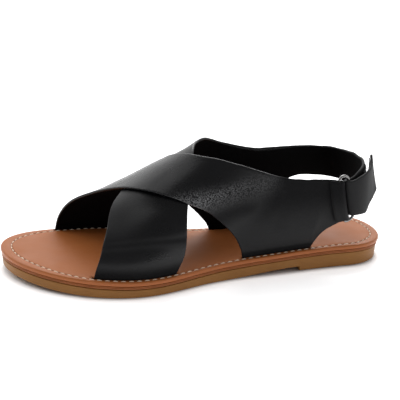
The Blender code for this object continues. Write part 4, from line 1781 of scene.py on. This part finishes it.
@dataclass
class Fastening:
    """The ring that joins the quarter and the heel strap, and the two tapes under the strap's free end."""

    plan: SolePlan
    last: Last
    leather: float = LEATHER
    fold_radius: float = FOLD_RADIUS
    wire: float = 1.9
    low_margin: float = -0.045
    low_bulge: float = 0.4
    high_margin: float = 0.01
    bar_points: int = 24
    bend_points: int = 28
    wire_sides: int = 18
    pile_backing: float = 0.55
    pile_height: float = 0.5
    pile_gap: float = 0.75
    hook_thickness: float = 0.8
    hook_backing: float = 0.3
    hook_height: float = 0.45
    hook_gap: float = 0.9
    hook_closed: float = 0.75
    tape_margin: float = 0.08
    tape_spacing: float = 0.5
    tape_columns: int = 36
    fibre_places: tuple[float, float] = (0.02, 0.98)
    fibre_scatter: float = 0.006
    fibre_reach: tuple[float, float] = (0.7, 1.15)
    fibre_bend: float = 0.32
    fibre_radius: float = 0.09
    fibre_points: int = 6

    @staticmethod
    def bend(start: np.ndarray, end: np.ndarray, bulge: np.ndarray, count: int) -> np.ndarray:
        """Make a half ellipse between two points.

        Args:
            start: First point.
            end: Second point.
            bulge: Way that it bulges; at length 1 it is a half circle.
            count: Number of points.

        Returns:
            Points without the two given ones.
        """
        turn = np.linspace(0, math.pi, count + 2)[1:-1, None]
        across = (start - end) / 2
        return (start + end) / 2 + np.cos(turn) * across + np.sin(turn) * bulge * np.linalg.norm(across)

    def ring(self, finish: bpy.types.Material) -> None:
        """Make the ring: a round wire carried along two bars and two bends, and seat it.

        Args:
            finish: Its material.
        """
        depth = self.leather / 2 + self.fold_radius
        share = np.linspace(self.low_margin, 1 - self.high_margin, self.bar_points)[None]
        front, rear = (self.last.across_row(np.array(rows[-1:]), share, depth)[0]
                       for rows in (OVER_ROWS, UNDER_ROWS))
        upward = unit(front[-1] - front[0])
        path = np.concatenate([
            front, self.bend(front[-1], rear[-1], upward, self.bend_points),
            rear[::-1], self.bend(rear[0], front[0], -self.low_bulge * upward, self.bend_points)])
        ahead = unit(np.roll(path, -1, 0) - np.roll(path, 1, 0))
        face = unit(np.cross(upward, rear[0] - front[0]))
        beside = unit(np.cross(ahead, face))
        outward = np.cross(beside, ahead)
        turn = np.linspace(0, 2 * math.pi, self.wire_sides, endpoint=False)[:, None]
        circle = np.cos(turn) * beside[:, None] + np.sin(turn) * outward[:, None]
        points = path[:, None] + self.wire / 2 * circle
        quads = quad_grid(len(path) + 1, self.wire_sides, True) % (len(path) * self.wire_sides)
        seat(make_piece("strap_ring", self.plan.metres(points), quads, [finish]), "ring", "ring")

    def spread_tape(self, tape: Tape) -> tuple[np.ndarray, np.ndarray]:
        """Set a tape's cut lines close together, lifted by its rise, with shares of their width.

        Args:
            tape: The tape.

        Returns:
            The cut lines, and the shares on each of them.
        """
        lines = np.array(tape.rows)
        lines[:, 4:] += tape.rise
        along = run_length(self.last.middle_line(lines, 0.0))
        marks = np.linspace(0, along[-1], round(along[-1] / self.tape_spacing))
        share = np.linspace(self.tape_margin, 1 - self.tape_margin, self.tape_columns)
        return SteadyCurve(along, lines)(marks), np.tile(share, (len(marks), 1))

    def fibres(self, tape: Tape, lines: np.ndarray, share: np.ndarray) -> tuple[np.ndarray, np.ndarray]:
        """Make small bent wires standing on a tape: half ellipses, closed loops or open hooks.

        Args:
            tape: The tape.
            lines: Its cut lines.
            share: Shares of the width on those lines.

        Returns:
            Points and quads.
        """
        draw = np.random.default_rng(len(tape.name))
        rows = np.arange(1, len(lines) - 1, round(tape.gap / self.tape_spacing))
        edges = self.last.across_row(lines, share[:, [0, -1]], tape.foot)
        width = float(np.linalg.norm(edges[:, 1] - edges[:, 0], axis=-1).mean())
        places = np.linspace(*self.fibre_places, round(width / tape.gap))
        low, high = share[0, 0], share[0, -1]
        row, place = np.meshgrid(rows, low + (high - low) * places, indexing="ij")
        row, place = row.ravel(), place.ravel() + draw.normal(0, self.fibre_scatter, row.size)
        foot, tip = (self.last.across_row(lines[row], place[:, None], depth)[:, 0]
                     for depth in (tape.foot, tape.foot + tape.height))
        up = tip - foot
        sideways = unit(np.cross(up, draw.normal(0, 1, up.shape)))
        turn = np.linspace(0, math.pi * tape.closed, self.fibre_points)
        reach = draw.uniform(*self.fibre_reach, (row.size, 1, 1))
        spine = (foot[:, None] + self.fibre_bend * (1 - np.cos(turn))[:, None] * sideways[:, None]
                 + reach * np.sin(turn)[:, None] * up[:, None])
        normal = unit(np.cross(up, sideways))
        corners = np.stack([normal, sideways - normal / 2, -sideways - normal / 2], 1)
        thick = np.pad(np.ones(self.fibre_points - 2), 1)[:, None, None]
        points = spine[:, :, None] + self.fibre_radius * thick * corners[:, None]
        sides = corners.shape[1]
        quads = quad_grid(self.fibre_points, sides, True)
        return points.reshape(-1, 3), repeat_quads(quads, self.fibre_points * sides, row.size)

    def tapes(self) -> tuple[Tape, Tape]:
        """List the pile on the heel strap and the hooks on its free end.

        Returns:
            The two tapes.
        """
        clearance = self.plan.clearance
        pile = Tape("loop_pile", "pile_patch", PILE_ROWS, self.leather + clearance, 0.0, self.pile_backing,
                    BLACK_PILE, self.pile_backing, self.pile_height, self.pile_gap, 1.0)
        hooks = Tape("hook_tape", "hook_patch", UNDER_RETURN, -clearance - self.hook_thickness,
                     self.hook_backing, self.hook_thickness, BLACK_HOOKS, self.hook_backing,
                     -self.hook_height, self.hook_gap, self.hook_closed)
        return pile, hooks

    def build(self, effects: Effects) -> None:
        """Make the ring and both tapes with their loops and hooks, and seat them.

        Args:
            effects: The shared shader groups.
        """
        self.ring(BRIGHT_NICKEL.material(effects))
        for tape in self.tapes():
            lines, share = self.spread_tape(tape)
            faces = [self.last.across_row(lines, share, depth) for depth in (tape.inner, tape.outer)]
            slab = np.array(faces).reshape(-1, 3)
            wires, quads = self.fibres(tape, lines, share)
            every = np.concatenate([slab_quads(*share.shape), quads + len(slab)])
            piece = make_piece(tape.name, self.plan.metres(np.concatenate([slab, wires])), every,
                               [tape.finish.material(effects)])
            seat(piece, tape.node, tape.node)


class Softbox(NamedTuple):
    """A soft light that faces the shoe: its place in metres, its sides and its brightness."""

    name: str
    place: tuple[float, float, float]
    width: float
    height: float
    radiance: float


class Glow(NamedTuple):
    """A soft bright part of the room: its direction, the cosines where it starts and is full, and
    its brightness."""

    direction: tuple[float, float, float]
    start: float
    full: float
    radiance: float


@dataclass
class Studio:
    """The pale floor, the soft lights and the camera at the photograph's angle."""

    plan: SolePlan
    azimuth: float = 14.22
    elevation: float = 19.96
    roll: float = -1.17
    distance: float = 600.0
    target: tuple[float, float, float] = (125.0, 0.0, 35.0)
    lens: float = 82.935
    sensor: float = 36.0
    shift: tuple[float, float] = (0.0049, 0.0275)
    clip: tuple[float, float] = (0.01, 50.0)
    floor_half: float = 6000.0
    floor_drop: float = 0.3
    # strength of the floor's glow: painted fill light
    painted_fill_glow: float = 0.60
    floor_roughness: float = 0.9
    floor_specular: float = 0.05
    floor_spacing: float = 3.0
    floor_rings: Sequence[float] = (-12.0, -6.0, -4.0, -2.0, -1.0, 0.0, 1.0, 2.0, 3.0, 4.5, 6.0, 8.0)
    # reach of the painted contact shadow, where the floor's glow fades in round the sole
    painted_shadow_reach: tuple[float, float] = (-3.5, 3.0)
    floor_colour: Colour = (0.90, 0.90, 0.905)
    # glow colour under the sole: black, a painted contact shadow
    painted_shadow_glow: Colour = (0.0, 0.0, 0.0)
    room_colour: Colour = (1.0, 1.0, 1.0)
    room_radiance: float = 0.27
    boxes: Sequence[Softbox] = (
        Softbox("overhead", (0.1, -0.25, 1.6), 1.1, 1.0, 1.2),
        Softbox("back", (-0.376, -0.930, 0.903), 0.9, 0.9, 4.6),
        Softbox("toe_side", (0.98, -0.45, 0.82), 0.8, 0.8, 2.6),
    )
    glows: Sequence[Glow] = (
        Glow((0.0, -1.0, 0.2), 0.35, 0.8, 1.15),
        Glow((-1.0, 0.1, 0.1), 0.7, 0.95, 1.1),
    )

    @staticmethod
    def put(name: str, data: bpy.types.ID, *columns: np.ndarray) -> bpy.types.Object:
        """Put a camera or a light into the scene.

        Args:
            name: Name of the object.
            data: The camera or light.
            columns: Its right, its up, its back and its place.

        Returns:
            The object.
        """
        thing = bpy.data.objects.new(name, data)
        bpy.context.scene.collection.objects.link(thing)
        frame = np.eye(4)
        frame[:3] = np.column_stack(columns)
        thing.matrix_world = Matrix(frame.tolist())
        return thing

    def camera(self) -> None:
        """Place the camera: back is its turn round the shoe and its height, and roll turns it."""
        turn, rise, roll = (math.radians(v) for v in (self.azimuth, self.elevation, self.roll))
        back = np.array([math.sin(turn) * math.cos(rise), math.cos(turn) * math.cos(rise), math.sin(rise)])
        right = np.array([-math.cos(turn), math.sin(turn), 0.0])
        up = np.cross(back, right)
        across = math.cos(roll) * right - math.sin(roll) * up
        upright = math.sin(roll) * right + math.cos(roll) * up
        lens = bpy.data.cameras.new("camera")
        lens.lens = self.lens
        lens.sensor_width = self.sensor
        lens.shift_x, lens.shift_y = self.shift
        lens.clip_start, lens.clip_end = self.clip
        place = self.plan.metres(np.array(self.target)) + back * self.distance * MM
        bpy.context.scene.camera = self.put("camera", lens, across, upright, back, place)

    def floor(self) -> None:
        """Make the floor as one wide sheet in rings round the sole.

        A ring is the outline moved out along its normals, and the last one a wide circle. The floor's
        glow is painted fill light; it fades out close to the sole and is gone under it, a painted contact
        shadow.
        """
        loop = self.plan.loop(self.floor_spacing)
        offsets = np.array(self.floor_rings)
        rings = loop - offsets[:, None, None] * self.plan.inward(loop)
        middle = loop.mean(0)
        far = middle + unit(loop - middle) * self.floor_half
        place = np.concatenate([rings, far[None]])
        sheet = np.concatenate([place, np.full((*place.shape[:2], 1), -self.floor_drop)], -1)
        grid = np.concatenate([cap_rings(sheet[0], 1), sheet])
        # share of the floor's painted fill glow: 0 under the sole, a painted contact shadow, rising to 1
        # away from it
        painted_fill_share = np.pad(smooth_step(offsets, *self.painted_shadow_reach), 1, constant_values=(0.0, 1.0))
        material, wires, shader = new_finish("pale_floor", self.floor_roughness, self.floor_specular)
        pale = opaque(self.floor_colour)
        wires.feed(shader, {
            "Base Color": pale,
            "Emission Strength": self.painted_fill_glow,
            "Emission Color": wires.blend(wires.own("painted_fill_share"), opaque(self.painted_shadow_glow), pale)})
        floor = ring_piece("floor", self.plan.metres(grid), material, {"painted_fill_share": painted_fill_share})

    def lights(self) -> None:
        """Place the soft lights, each bright enough for its radiance: power is pi times area times it."""
        for box in self.boxes:
            light = bpy.data.lights.new(box.name, "AREA")
            light.shape = "RECTANGLE"
            light.size, light.size_y = box.width, box.height
            light.energy = math.pi * box.width * box.height * box.radiance
            back = unit(np.array(box.place))
            right = unit(np.cross(UPWARD, back))
            self.put(box.name, light, right, np.cross(back, right), back, box.place)

    def room(self) -> None:
        """Fill the room with dim light and its glows, each by the cosine to its own direction."""
        world = bpy.data.worlds.new("room")
        world.use_nodes = True
        wires = Wiring(world.node_tree)
        outward = wires.add("TexCoord").outputs["Generated"]
        strength = self.room_radiance
        for glow in self.glows:
            middle = tuple(unit(np.array(glow.direction)))
            cosine = wires.add("VectorMath", {0: outward, 1: middle}, operation="DOT_PRODUCT")
            share = wires.ranged(cosine.outputs["Value"], glow.start, glow.full, 0.0, glow.radiance,
                                 way="SMOOTHSTEP")
            strength = wires.maths("ADD", share, strength)
        background = world.node_tree.nodes["Background"]
        wires.feed(background, {"Color": opaque(self.room_colour), "Strength": strength})
        bpy.context.scene.world = world

    def build(self) -> None:
        """Set up floor, lights, room and camera."""
        self.floor()
        self.lights()
        self.room()
        self.camera()
        bpy.context.scene.view_settings.view_transform = "Standard"


def main() -> None:
    """Load the solids, build the sandal's pieces round them and set up the studio."""
    logging.basicConfig(level=logging.INFO, format="%(message)s", stream=sys.stdout)
    for thing in list(bpy.data.objects):
        bpy.data.objects.remove(thing, do_unlink=True)
    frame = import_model()
    LOG.info("frame: %d nodes", len(frame["nodes"]))
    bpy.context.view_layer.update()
    plan = SolePlan()
    last = Last(plan)
    effects = Effects()
    SoleLayers(plan).build(effects)
    Footbed(plan, last).build(effects)
    hides = [BLACK_LEATHER.material(effects), BLACK_LINING.material(effects)]
    UnderStrap(plan, last).build(hides)
    OverStrap(plan, last).build(hides)
    Fastening(plan, last).build(effects)
    Studio(plan).build()


if __name__ == "__main__":
    main()
